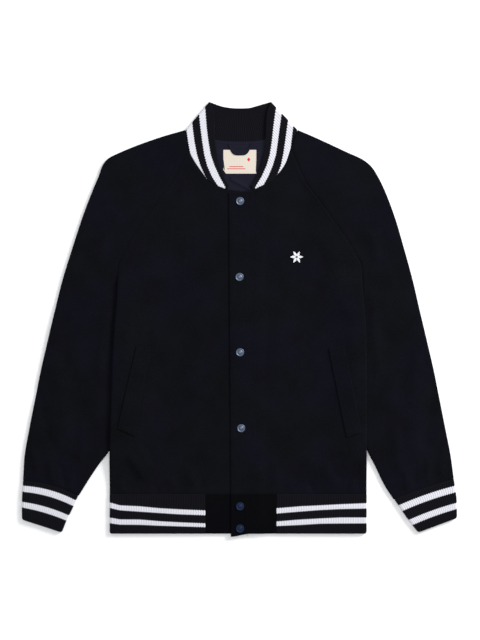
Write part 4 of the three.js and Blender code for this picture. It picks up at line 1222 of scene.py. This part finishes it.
def line_between(a, b, count=40):
    return between(np.array(a, float), np.array(b, float), np.linspace(0, 1, count))


class JACKET_OT_body(bpy.types.Operator):
    """Makes the back panel and the two fronts of melton wool"""

    bl_idname = "jacket.body_panels"
    bl_label = "Back panel and fronts"

    def execute(self, context):
        wool = melton_wool()
        wall = mm("cloth_wall")
        at, out = back_sheet()
        back = cloth_wall("back_panel_wool", at, out, wall, wool)
        declare(back, "back_panel")
        for side in ("right", "left"):
            at, out = front_sheet(side)
            front = cloth_wall(f"front_{side}_wool", at, out, wall, wool, swells=True)
            declare(front, f"front_{side}")
        return {"FINISHED"}


class JACKET_OT_sleeves(bpy.types.Operator):
    """Makes the two raglan sleeves of melton wool, each folded round its outer side"""

    bl_idname = "jacket.sleeves"
    bl_label = "Raglan sleeves"

    def execute(self, context):
        for side in ("right", "left"):
            at, out = sleeve_sheet(side)
            sleeve = cloth_wall(f"sleeve_{side}_wool", at, out, mm("cloth_wall"), melton_wool(), swells=True)
            declare(sleeve, f"sleeve_{side}")
        return {"FINISHED"}


def rib_count(width):
    return round(width / mm("rib_pitch"))


def rib_columns(start, count, per_rib=8):
    """Across values of the columns of one flat stretch of rib, the same number for each rib."""
    return np.linspace(start, start + 1, per_rib * count + 1)


def signed_stripes(distance, stripes):
    """Distance in mm into the nearest stripe, negative outside all of them."""
    gaps = [np.minimum(distance - low, high - distance) for low, high in stripes]
    return np.maximum.reduce(gaps)


def knit_piece(name, at, out, phase, marks, tube=False):
    """A wall of rib knit with its ribs raised by the rib tree. marks holds what each face is given."""
    wall = mm("rib_wall")
    gap = piece_marks(at, tube)
    firm = (rounded_half(gap, wall, 1.2) / (wall / 2))[..., None]
    outer_weight, inner_weight, sink = marks["outer"], marks["inner"], marks["sink"]
    grid = np.ones(at.shape[:2])
    raised = out * firm
    knit = cloth_wall(name, at, out, wall, rib_knit(), soft=1.2, tube=tube, marks={
        "rib_phase": (phase * grid, phase * grid),
        "rib_way": (raised * (outer_weight * grid)[..., None], -raised * (inner_weight * grid)[..., None]),
        "rib_sink": (sink * grid, 0 * grid),
        "stripe_gap": (marks["stripe"] * grid, -9 * grid),
        "course": (marks["course"] * grid, marks["course"] * grid),
    })
    relief = bpy.context.scene.jacket_sizes.rib_relief
    return run_tree(knit, rib_relief_tree(), {"Relief": relief, "Material": rib_knit()})


def rounded_corner(row, radius_share, depth):
    """How far an edge pulls in over its last share, as a quarter round."""
    t = np.clip((row - 1 + radius_share) / radius_share, 0, 1)
    return depth * (1 - np.sqrt(np.maximum(1 - t * t, 0)))


class JACKET_OT_cuffs(bpy.types.Operator):
    """Knits the two rib cuffs, each a flat tube with two white stripes"""

    bl_idname = "jacket.cuffs"
    bl_label = "Rib cuffs"

    def execute(self, context):
        wall = mm("rib_wall")
        floor_z = wall / 2
        for side in ("right", "left"):
            lines = OUTLINES[side]
            rows = spread(0, 1, 76, mm("grid"), (True, True))
            outer, inner = lines["cuff_outer"](rows), lines["cuff_inner"](rows)
            way = unit(outer - inner)
            pull = rounded_corner(rows, 0.06, 3)[:, None]
            outer = outer - way * pull
            inner = inner + way * pull
            inset = (front_mid() - floor_z) / 2 + wall / 2
            ends = [inner + way * inset, outer - way * inset]
            count = rib_count(np.linalg.norm(lines["cuff_outer"](0) - lines["cuff_inner"](0)))
            flat = rib_columns(0, count)
            degrees = np.linspace(0, 180, 13)[1:-1]
            along = ends[0][:, None] + (ends[1] - ends[0])[:, None] * flat[None, :, None]
            along = along + cuff_bow(side, way, flat, 1 - rows)
            back = along[:, ::-1]
            level = np.full(len(rows), front_mid())
            ground = np.full(len(rows), floor_z)
            puff = CUFF_PUFF * np.sin(math.pi * rows)
            at, out = side_by_side(
                flat_at(along, (level + puff)[:, None], 1),
                turned(outer, way, level + puff, ground, wall, degrees),
                flat_at(back, floor_z, -1),
                turned(inner, -way, level + puff, ground, wall, degrees[::-1]),
            )
            bends = np.linspace(0, 2, 13)[1:-1]
            phase = np.concatenate([
                flat * count, count + bends, count + 2 + flat * count, 2 * count + 2 + bends,
            ])
            down = np.linspace(0, 1, 13)[1:-1]
            sink = np.concatenate([flat * 0, down, flat * 0 + 1, down[::-1]])
            low, high = CUFF_STRIPES[side]
            length = np.linalg.norm(at - at[:1], axis=-1)
            total = length[-1:]
            stripes = [(start * total, end * total) for start, end in (low, high)]
            stripe = signed_stripes(length, stripes)
            cuff = knit_piece(f"cuff_{side}_knit", at, out, phase[None], {
                "outer": 1.0, "inner": 1.0, "sink": sink[None], "stripe": stripe, "course": length,
            }, tube=True)
            declare(cuff, f"cuff_{side}")
        return {"FINISHED"}


def hem_stripe_gap(side, x, y):
    """Distance in mm into the nearest hem stripe on a front."""
    table = np.array(HEM_STRIPES[side])
    edges = [np.interp(x, table[:, 0], table[:, k]) for k in range(1, 5)]
    gaps = [np.minimum(edges[k] - y, y - edges[k + 1]) for k in (0, 2)]
    return np.maximum(*gaps)


class JACKET_OT_hem(bpy.types.Operator):
    """Knits the hem rib, one strip from tab to tab round the back"""

    bl_idname = "jacket.hem_rib"
    bl_label = "Hem rib"

    def execute(self, context):
        wall = mm("rib_wall")
        floor_z = wall / 2
        inset = (front_mid() - floor_z) / 2 + wall / 2
        rows = spread(0, 1, HEM_SEAM_Y - HEM_BOTTOM_Y, mm("grid"), (True, True))
        y = mix(HEM_SEAM_Y + LAP / 2, HEM_BOTTOM_Y, rows)
        level = np.full(len(rows), front_mid()) + 0.5 * np.sin(math.pi * rows)
        ground = np.full(len(rows), floor_z)
        pull = rounded_corner(rows, 0.06, 3.5)
        sides = {side: body_side_x(side, HEM_SEAM_Y) for side in ("right", "left")}
        counts = {side: rib_count(sides[side] - abs(HEM_TAB_OUTER_X[side])) for side in sides}
        back_count = rib_count(sides["right"] + sides["left"])
        degrees = np.linspace(0, 180, 13)[1:-1]

        def stretch(start, stop, columns, z, facing):
            x = start[:, None] + (stop - start)[:, None] * columns[None]
            plan = np.stack([x, np.broadcast_to(y[:, None], x.shape)], -1)
            return flat_at(plan, z, facing)

        right_x, left_x = -sides["right"] + pull, sides["left"] - pull
        right_flat, left_flat = rib_columns(0, counts["right"]), rib_columns(0, counts["left"])
        back_flat = rib_columns(0, back_count, 6)
        tab_right = np.full(len(rows), HEM_TAB_OUTER_X["right"] + LAP / 2)
        tab_left = np.full(len(rows), HEM_TAB_OUTER_X["left"] - LAP / 2)
        way = np.tile([1.0, 0.0], (len(rows), 1))
        at, out = side_by_side(
            stretch(tab_right, right_x + inset, right_flat, level[:, None], 1),
            turned(np.stack([right_x, y], -1), -way, level, ground, wall, degrees),
            stretch(right_x + inset, left_x - inset, back_flat, floor_z, -1),
            turned(np.stack([left_x, y], -1), way, level, ground, wall, degrees[::-1]),
            stretch(left_x - inset, tab_left, left_flat, level[:, None], 1),
        )
        bends = np.linspace(0, 2, 13)[1:-1]
        starts = np.cumsum([0, counts["right"], 2, back_count, 2])
        phase = np.concatenate([
            right_flat * counts["right"], starts[1] + bends, starts[2] + back_flat * back_count,
            starts[3] + bends, starts[4] + left_flat * counts["left"],
        ])
        down = np.linspace(0, 1, 13)[1:-1]
        sink = np.concatenate([right_flat * 0, down, back_flat * 0 + 1, down[::-1], left_flat * 0])
        half = np.arange(at.shape[1]) < len(right_flat) + len(degrees) + len(back_flat) // 2
        near = np.where(half[None], hem_stripe_gap("right", at[..., 0], at[..., 1]), hem_stripe_gap(
            "left", at[..., 0], at[..., 1]))
        back_start = len(right_flat) + len(degrees)
        back_stop = back_start + len(back_flat)
        ends = [near[:, back_start:back_start + 1], near[:, back_stop - 1:back_stop]]
        near[:, back_start:back_stop] = mix(ends[0], ends[1], back_flat[None])
        course = np.broadcast_to((rows * (HEM_SEAM_Y - HEM_BOTTOM_Y))[:, None], at.shape[:2])
        hem = knit_piece("hem_rib_knit", at, out, phase[None], {
            "outer": 1.0, "inner": 0.0, "sink": sink[None], "stripe": near, "course": course,
        })
        declare(hem, "hem_rib")
        return {"FINISHED"}


def collar_stripe_gap(side, x, y):
    """Distance in mm into the nearest collar stripe on a front."""
    table = np.array(COLLAR_STRIPES[side])[::-1]
    edges = [np.interp(y, table[:, 0], table[:, k]) for k in range(1, 5)]
    gaps = [np.minimum(x - edges[k], edges[k + 1] - x) for k in (0, 2)]
    return np.maximum(*gaps)


class JACKET_OT_collar(bpy.types.Operator):
    """Knits the collar: one band folded at the sides, with its inner face up at the back"""

    bl_idname = "jacket.collar"
    bl_label = "Rib collar"

    def execute(self, context):
        wall = mm("rib_wall")
        floor_z = wall / 2
        rows = spread(0, 1, 64, mm("grid"), (True, True))
        top_z = COLLAR_FRONT_MID + COLLAR_EDGE_RISE * rows
        front_count, back_count = rib_count(150), rib_count(205)

        def front_plan(side, share):
            neck, edge = OUTLINES[side]["neck"], OUTLINES[side]["collar_edge"]
            along = mix(0.012, 1 - COLLAR_FOLD_SHARE["front"], share)
            low = neck.beside(along, -sign_of(side) * LAP / 2)
            return low[None] + (edge(along) - low)[None] * rows[:, None, None]

        def back_plan(share):
            seam, edge = COLLAR_FOLD_SHARE["back_seam"], COLLAR_FOLD_SHARE["back_edge"]
            low = BACK_NECK_FULL(mix(seam, 1 - seam, share)) - [0, LAP / 2]
            high = BACK_COLLAR_TOP(mix(edge, 1 - edge, share))
            return low[None] + (high - low)[None] * rows[:, None, None]

        def fold_columns(side, share):
            """The turn from the front (share 0) to the back (share 1)."""
            sign = sign_of(side)
            neck_point, edge_point = OUTLINES[side]["neck"](1.0), OUTLINES[side]["collar_edge"](1.0)
            line = unit(edge_point - neck_point)
            way = np.array([line[1], -line[0]]) * sign
            low = neck_point - line * LAP / 2
            edge = low[None] + (edge_point - low)[None] * rows[:, None] - way * wall / 2
            front = front_plan(side, np.array([1.0]))[:, 0]
            back = back_plan(np.array([0.0 if side == "right" else 1.0]))[:, 0]
            angle = share * math.pi
            start = np.where((share < 0.5)[None, :, None], front[:, None], back[:, None])
            reach = np.sin(angle)[None, :, None]
            plan = edge[:, None] + (start - edge[:, None]) * (1 - reach)
            lean = unit(edge[:, None] - start)
            lean = unit(lean + (way - lean) * reach)
            radius = ((top_z - floor_z) / 2)[:, None]
            z = floor_z + radius * (1 + np.cos(angle))[None]
            up = np.broadcast_to(np.cos(angle)[None, :, None], (*plan.shape[:2], 1))
            return np.concatenate([plan, z[..., None]], -1), np.concatenate([lean * reach, up], -1)

        flat, back_flat = rib_columns(0, front_count), rib_columns(0, back_count)
        turn = np.linspace(0, 1, 13)[1:-1]
        at, out = side_by_side(
            flat_at(front_plan("right", flat), top_z[:, None], 1),
            fold_columns("right", turn),
            flat_at(back_plan(back_flat), floor_z, -1),
            fold_columns("left", turn[::-1]),
            flat_at(front_plan("left", 1 - flat), top_z[:, None], 1),
        )
        starts = np.cumsum([0, front_count, 2, back_count, 2])
        phase = np.concatenate([
            flat * front_count, starts[1] + 2 * turn, starts[2] + back_flat * back_count,
            starts[3] + 2 * turn, starts[4] + flat * front_count,
        ])
        sink = np.concatenate([flat * 0, turn, back_flat * 0 + 1, turn[::-1], flat * 0])
        inner = np.concatenate([flat * 0, turn, back_flat * 0 + 1, turn[::-1], flat * 0])
        first = len(flat)
        last = at.shape[1] - len(flat)
        stripe = np.zeros(at.shape[:2])
        stripe[:, :first] = collar_stripe_gap("right", at[:, :first, 0], at[:, :first, 1])
        stripe[:, last:] = collar_stripe_gap("left", at[:, last:, 0], at[:, last:, 1])
        ends = [stripe[:, first - 1:first], stripe[:, last:last + 1]]
        shares = (np.arange(last - first) + 1) / (last - first + 1)
        stripe[:, first:last] = mix(ends[0], ends[1], shares[None])
        course = np.broadcast_to((rows * 64)[:, None], at.shape[:2])
        collar = knit_piece("collar_rib_knit", at, out, phase[None], {
            "outer": 1.0, "inner": inner[None], "sink": sink[None],
            "stripe": stripe, "course": course,
        })
        declare(collar, "collar_rib")
        return {"FINISHED"}


class JACKET_OT_tabs(bpy.types.Operator):
    """Makes the flat wool tabs at the foot of each front"""

    bl_idname = "jacket.hem_tabs"
    bl_label = "Hem tabs"

    def execute(self, context):
        for side in ("right", "left"):
            over = side == "left"
            inner = PLACKET_EDGE_X["bottom"] if over else PLACKET_HIDDEN_X["bottom"]
            outer = HEM_TAB_OUTER_X[side] + sign_of(side) * LAP / 2
            columns = spread(0, 1, abs(outer - inner), mm("grid"), (True, True))
            rows = spread(0, 1, 76, mm("grid"), (True, True))
            x = mix(inner, outer, columns)
            drop = TAB_CORNER_DROP * (1 - smooth((x - inner) / 36)) if over else x * 0
            y = mix(HEM_SEAM_Y + LAP / 2, (HEM_BOTTOM_Y - drop)[None], rows[:, None])
            plan = np.stack([np.broadcast_to(x[None], y.shape), y], -1)
            z = front_mid() + (placket_step(x) if over else x * 0)
            puff = 0.35 * np.sin(math.pi * rows)[:, None]
            at, out = flat_at(plan, z[None] + puff, 1)
            # The tabs are cut across, so their nap lies the other way and catches less light; this shade is
            # painted into a darker copy of the wool
            wool = melton_wool("melton_wool_painted_shade", 0.4)
            tab = cloth_wall(f"hem_tab_{side}_wool", at, out, mm("cloth_wall"), wool)
            declare(tab, f"hem_tab_{side}")
        return {"FINISHED"}


def welt_plan(side, across, rows):
    """Plan points of a pocket welt."""
    pocket = {name: np.array(pair, float) for name, pair in SIDES[side]["pocket"].items()}
    top = between(pocket["top"][0], pocket["top"][1], across)
    bottom = between(pocket["bottom"][0], pocket["bottom"][1], across)
    return top[None] + (bottom - top)[None] * rows[:, None, None]


def welt_height(side, x, y):
    height = over_front_height if side == "left" else body_front_height
    return height(x, y) + SEAM + 0.1 + WELT_WALL / 2


class JACKET_OT_pockets(bpy.types.Operator):
    """Makes the two slanted pocket welts, with their edge stitches and bar tacks"""

    bl_idname = "jacket.pockets"
    bl_label = "Pocket welts"

    def execute(self, context):
        thread = sewing_thread("navy_polyester_thread", "thread")
        for side in ("right", "left"):
            across = spread(0, 1, 30, 1.6, (True, True))
            rows = spread(0, 1, 168, 2.4, (True, True))
            plan = welt_plan(side, across, rows)
            z = welt_height(side, plan[..., 0], plan[..., 1]) + mm("cloth_wall") / 2
            # The middle swells a little between the two stitched long edges
            swell = 0.5 * np.sin(math.pi * across)[None] * np.sin(math.pi * rows)[:, None]
            at, out = flat_at(plan, z + swell, 1)
            welt = cloth_wall(f"pocket_welt_{side}_wool", at, out, WELT_WALL, melton_wool(), soft=1.6)
            declare(welt, f"pocket_welt_{side}")
            face = mm("cloth_wall") / 2 + WELT_WALL / 2
            runs = []
            for share in (0.07, 0.93):
                line = welt_plan(side, np.array([share]), np.linspace(0.02, 0.98, 60))[:, 0]
                runs.append(np.column_stack([line, welt_height(side, line[:, 0], line[:, 1]) + face]))
            seam_stitches(f"pocket_welt_{side}_stitches", runs, thread)
            tacks = []
            for end in (0.015, 0.045, 0.955, 0.985):
                line = welt_plan(side, np.linspace(0.1, 0.9, 24), np.array([end]))[0]
                tacks.append(np.column_stack([line, welt_height(side, line[:, 0], line[:, 1]) + face]))
            seam_stitches(
                f"pocket_welt_{side}_bar_tacks", tacks, thread, pitch=0.0016, stitch=0.0018, thread=0.0009,
            )
        return {"FINISHED"}


def lining_mid():
    return mm("cloth_wall") + SEAM + LINING["wall"] / 2


def label_mid():
    return lining_mid() + LINING["wall"] / 2 + SEAM + LABEL["wall"] / 2


def loop_mid():
    return label_mid() + LABEL["wall"] / 2 + SEAM + LOOP["wall"] / 2


def loop_low_edge(u):
    """Height of the loop's lower edge, a flat-bottomed bow from u -1 to 1."""
    return LOOP["low_y"] + (LOOP["top_y"] - LOOP["low_y"]) * np.abs(u) ** 4


def label_motif(x, y):
    """Distance in mm into the label's woven motif: a small diamond and two short bars."""
    diamond = 3.2 - (np.abs(x - (LABEL["right"] - 14)) + np.abs(y - (LABEL["bottom"] + 26)) * 0.8)
    bars = [
        np.minimum(0.7 - np.abs(y - (LABEL["bottom"] + rise)), half - np.abs(x - (LABEL["left"] + 24)))
        for rise, half in ((9, 17), (13, 13))
    ]
    return np.maximum.reduce([diamond, *bars])


class JACKET_OT_neck(bpy.types.Operator):
    """Makes the satin neck lining, the cotton label and the hanger loop"""

    bl_idname = "jacket.neck_pieces"
    bl_label = "Neck lining, label and loop"

    def execute(self, context):
        satin = navy_satin()
        across = spread(0, 1, 120, 2.0, (True, True))
        rows = spread(0, 1, 106, 2.0, (True, True))
        top = BACK_NECK_FULL(mix(0.24, 0.76, across))
        width = LINING["half_width"]
        x = mix(top[:, 0][None], mix(-width, width, across)[None], rows[:, None])
        y = mix((top[:, 1] + 2 * LAP)[None], LINING["bottom_y"], rows[:, None])
        creases = ((-20, 261, 24, 238, 3.2, 1.6), (-34, 312, -26, 262, 5, 0.8), (36, 316, 30, 262, 5, 0.8))
        at, out = flat_at(np.stack([x, y], -1), lining_mid() + crease_height(creases, x, y), 1)
        lining = cloth_wall("neck_lining_satin", at, out, LINING["wall"], satin, soft=0.6)
        declare(lining, "neck_lining")

        across = spread(0, 1, LABEL["right"] - LABEL["left"], 0.6, (True, True))
        rows = spread(0, 1, LABEL["top"] - LABEL["bottom"], 0.6, (True, True))
        label_x = mix(LABEL["left"], LABEL["right"], across)
        cut = np.clip(LABEL["cut_corner"] - (label_x - LABEL["left"]), 0, None) * 1.3
        y = mix(LABEL["top"], (LABEL["bottom"] + cut)[None], rows[:, None])
        x = np.broadcast_to(label_x[None], y.shape)
        wave = 0.18 * np.sin(x / 9 + 0.6) * np.sin(math.pi * rows)[:, None]
        at, out = flat_at(np.stack([x, y], -1), label_mid() + wave, 1)
        motif = label_motif(x, y)
        label = cloth_wall("neck_label_cotton", at, out, LABEL["wall"], label_cotton(), soft=0.4, marks={
            "motif_gap": (motif, motif * 0 - 9),
        })
        declare(label, "neck_label")

        u = spread(-1, 1, 2 * LOOP["half_span"], 0.9, (True, True))
        rows = spread(0, 1, LOOP["strip"], 0.9, (True, True))
        low = loop_low_edge(u)
        strip = LOOP["strip"] * (1 - 0.55 * np.abs(u) ** 4)
        y = low[None] + strip[None] * (1 - rows)[:, None]
        x = np.broadcast_to((LOOP["middle_x"] + LOOP["half_span"] * u)[None], y.shape)
        roll = 0.25 * np.sin(math.pi * rows)[:, None]
        at, out = flat_at(np.stack([x, y], -1), loop_mid() + roll, 1)
        loop = cloth_wall("hanger_loop_satin", at, out, LOOP["wall"], satin, soft=0.5)
        declare(loop, "hanger_loop")

        thread = sewing_thread("navy_polyester_thread", "thread")
        seam_x = np.linspace(-52, 52, 60)
        seam_share = np.interp(seam_x, BACK_NECK_FULL.points[:, 0], BACK_NECK_FULL.shares)
        seam_y = BACK_NECK_FULL(seam_share)[:, 1] - 5
        level = lining_mid() + LINING["wall"] / 2
        seam = np.column_stack([seam_x, seam_y, np.full(60, level)])
        seam_stitches("neck_lining_stitches", [seam], thread)
        cream = sewing_thread("cream_cotton_thread", "label")
        level = label_mid() + LABEL["wall"] / 2
        runs = [
            line_between((side_x, LABEL["top"] - 2, level), (side_x, LABEL["bottom"] + 8, level))
            for side_x in (LABEL["left"] + 1.4, LABEL["right"] - 1.4)
        ]
        seam_stitches("neck_label_stitches", runs, cream, pitch=0.0028, stitch=0.002, thread=0.0004)
        return {"FINISHED"}


class JACKET_OT_front_stitches(bpy.types.Operator):
    """Sews the line of stitches down the placket and across the hem tab"""

    bl_idname = "jacket.placket_stitches"
    bl_label = "Placket stitches"

    def execute(self, context):
        thread = sewing_thread("navy_polyester_thread", "thread")
        body = on_front(line_between((14, 236), (15, HEM_SEAM_Y + 2), 200), over_front_height)
        tab_plan = line_between((15, HEM_SEAM_Y - 2), (15, HEM_BOTTOM_Y - 3), 30)
        tab_z = front_mid() + placket_step(tab_plan[:, 0]) + mm("cloth_wall") / 2 + 0.3
        tab = np.column_stack([tab_plan, tab_z])
        seam_stitches("placket_stitches", [body, tab], thread)
        return {"FINISHED"}


class JACKET_OT_chest_motif(bpy.types.Operator):
    """Embroiders a small generic rosette in white satin stitch on the left chest"""

    bl_idname = "jacket.chest_motif"
    bl_label = "Chest embroidery"

    def execute(self, context):
        place = on_front([(105.5, 115.0)], over_front_height, 0.15)
        mesh = bpy.data.meshes.new("chest_rosette")
        mesh.from_pydata((place / 1000).tolist(), [], [])
        obj = bpy.data.objects.new("chest_rosette", mesh)
        context.scene.collection.objects.link(obj)
        run_tree(obj, satin_petal_tree(), {
            "Petals": 6,
            "Petal length": context.scene.jacket_sizes.motif_petal,
            "Petal width": 0.0055,
            "Thread": 0.0008,
            "Material": sewing_thread("white_embroidery_thread", "motif"),
        })
        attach(obj, "root")
        return {"FINISHED"}


def turned_cap(name, place, profile, material, sides=48):
    """A cap turned round its own axis from a profile of (radius, height) points, poles closed."""
    profile = np.array(profile, float)
    angles = np.linspace(0, 2 * math.pi, sides, endpoint=False)
    ring = profile[1:-1]
    points = [[place[0], place[1], place[2] + profile[0][1]]]
    for radius, height in ring:
        for angle in angles:
            x, y = radius * math.cos(angle), radius * math.sin(angle)
            points.append([place[0] + x, place[1] + y, place[2] + height])
    points.append([place[0], place[1], place[2] + profile[-1][1]])
    faces = []
    top = len(points) - 1
    last = 1 + (len(ring) - 1) * sides
    for i in range(sides):
        j = (i + 1) % sides
        faces.append((0, 1 + j, 1 + i))
        for r in range(len(ring) - 1):
            a = 1 + r * sides
            faces.append((a + i, a + j, a + sides + j, a + sides + i))
        faces.append((last + i, last + j, top))
    mesh = bpy.data.meshes.new(name)
    mesh.from_pydata((np.array(points) / 1000).tolist(), [], faces)
    mesh.materials.append(material)
    mesh.shade_smooth()
    obj = bpy.data.objects.new(name, mesh)
    bpy.context.scene.collection.objects.link(obj)
    return obj


class JACKET_OT_snaps(bpy.types.Operator):
    """Fits the six snap caps, domed, with a rolled rim and a ring round the middle"""

    bl_idname = "jacket.snaps"
    bl_label = "Snaps"

    def execute(self, context):
        radius, dome = mm("snap_radius"), mm("snap_dome")
        rim = radius - 0.9
        profile = [(0, -0.25), (radius - 0.5, -0.25), (radius, 0.1), (radius, 0.7)]
        profile += [
            (rim + 0.9 * math.cos(t), 0.7 + 0.8 * math.sin(t)) for t in np.linspace(0.25, math.pi - 0.4, 8)
        ]
        groove = rim - 1.5
        profile += [(groove, 0.85), (groove - 0.5, 0.8)]
        profile += [
            ((groove - 1.0) * math.cos(t), 0.9 + (dome - 0.9) * math.sin(t))
            for t in np.linspace(0.12, 1.45, 9)
        ]
        profile += [(0, dome)]
        for number, (x, y) in enumerate(SNAP_PLACES, 1):
            on_tab = y < HEM_SEAM_Y
            if on_tab:
                z = front_mid() + placket_step(x) + mm("cloth_wall") / 2 + 0.35
            else:
                z = float(over_front_height(np.array(x), np.array(y))) + mm("cloth_wall") / 2
            finish = snap_enamel() if on_tab else snap_metal()
            snap = turned_cap(f"snap_{number}_cap", (x, y, z + 0.2), profile, finish)
            declare(snap, f"snap_{number}")
        return {"FINISHED"}


def softbox(name, place, size, power):
    """A square soft light aimed at the middle of the jacket."""
    light = bpy.data.lights.new(name, "AREA")
    light.shape = "SQUARE"
    light.size = size
    light.energy = power
    obj = bpy.data.objects.new(name, light)
    obj.location = place
    obj.rotation_mode = "QUATERNION"
    obj.rotation_quaternion = (-obj.location).to_track_quat("-Z", "Y")
    bpy.context.scene.collection.objects.link(obj)


class JACKET_OT_stage(bpy.types.Operator):
    """Sets the floor, the soft lights and the camera straight above"""

    bl_idname = "jacket.stage"
    bl_label = "Floor, lights and camera"

    def execute(self, context):
        scene = context.scene
        mesh = bpy.data.meshes.new("floor")
        corners = [(x * FLOOR_REACH, y * FLOOR_REACH) for x, y in ((-1, -1), (1, -1), (1, 1), (-1, 1))]
        mesh.from_pydata([(x, y, -FLOOR_DROP) for x, y in corners], [], [(0, 1, 2, 3)])
        mesh.materials.append(floor_paper())
        floor = bpy.data.objects.new("floor", mesh)
        scene.collection.objects.link(floor)
        for name, (place, size, power) in SOFTBOXES.items():
            softbox(name, place, size, power)
        world = bpy.data.worlds.new("studio_air")
        world.use_nodes = True
        back = world.node_tree.nodes["Background"]
        back.inputs["Color"].default_value = STUDIO_AIR["colour"]
        back.inputs["Strength"].default_value = STUDIO_AIR["strength"]
        scene.world = world
        camera = bpy.data.cameras.new("camera")
        camera.lens = CAMERA["lens"]
        camera.sensor_width = CAMERA["sensor"]
        holder = bpy.data.objects.new("camera", camera)
        holder.location = CAMERA["place"]
        scene.collection.objects.link(holder)
        scene.camera = holder
        scene.view_settings.view_transform = "Standard"
        return {"FINISHED"}


OPERATORS = (
    JACKET_OT_stage, JACKET_OT_body, JACKET_OT_sleeves, JACKET_OT_cuffs, JACKET_OT_hem, JACKET_OT_collar,
    JACKET_OT_tabs, JACKET_OT_pockets, JACKET_OT_neck, JACKET_OT_front_stitches, JACKET_OT_chest_motif,
    JACKET_OT_snaps,
)


class VIEW3D_PT_jacket(bpy.types.Panel):
    """Lists the jacket's pieces, sizes and colours in the sidebar"""

    bl_label = "Varsity Jacket"
    bl_idname = "VIEW3D_PT_jacket"
    bl_space_type = "VIEW_3D"
    bl_region_type = "UI"
    bl_category = "Jacket"

    def draw(self, context):
        for group in (context.scene.jacket_sizes, context.scene.jacket_colours):
            box = self.layout.box()
            for name in group.__annotations__:
                box.prop(group, name)
        for operator in OPERATORS:
            self.layout.operator(operator.bl_idname)


CLASSES = (JacketSizes, JacketColours, *OPERATORS, VIEW3D_PT_jacket)


def register():
    for item in CLASSES:
        bpy.utils.register_class(item)
    bpy.types.Scene.jacket_sizes = bpy.props.PointerProperty(type=JacketSizes)
    bpy.types.Scene.jacket_colours = bpy.props.PointerProperty(type=JacketColours)


def unregister():
    del bpy.types.Scene.jacket_colours
    del bpy.types.Scene.jacket_sizes
    for item in reversed(CLASSES):
        bpy.utils.unregister_class(item)


def main():
    register()
    for operator in OPERATORS:
        group, name = operator.bl_idname.split(".")
        getattr(getattr(bpy.ops, group), name)()


if __name__ == "__main__":
    main()
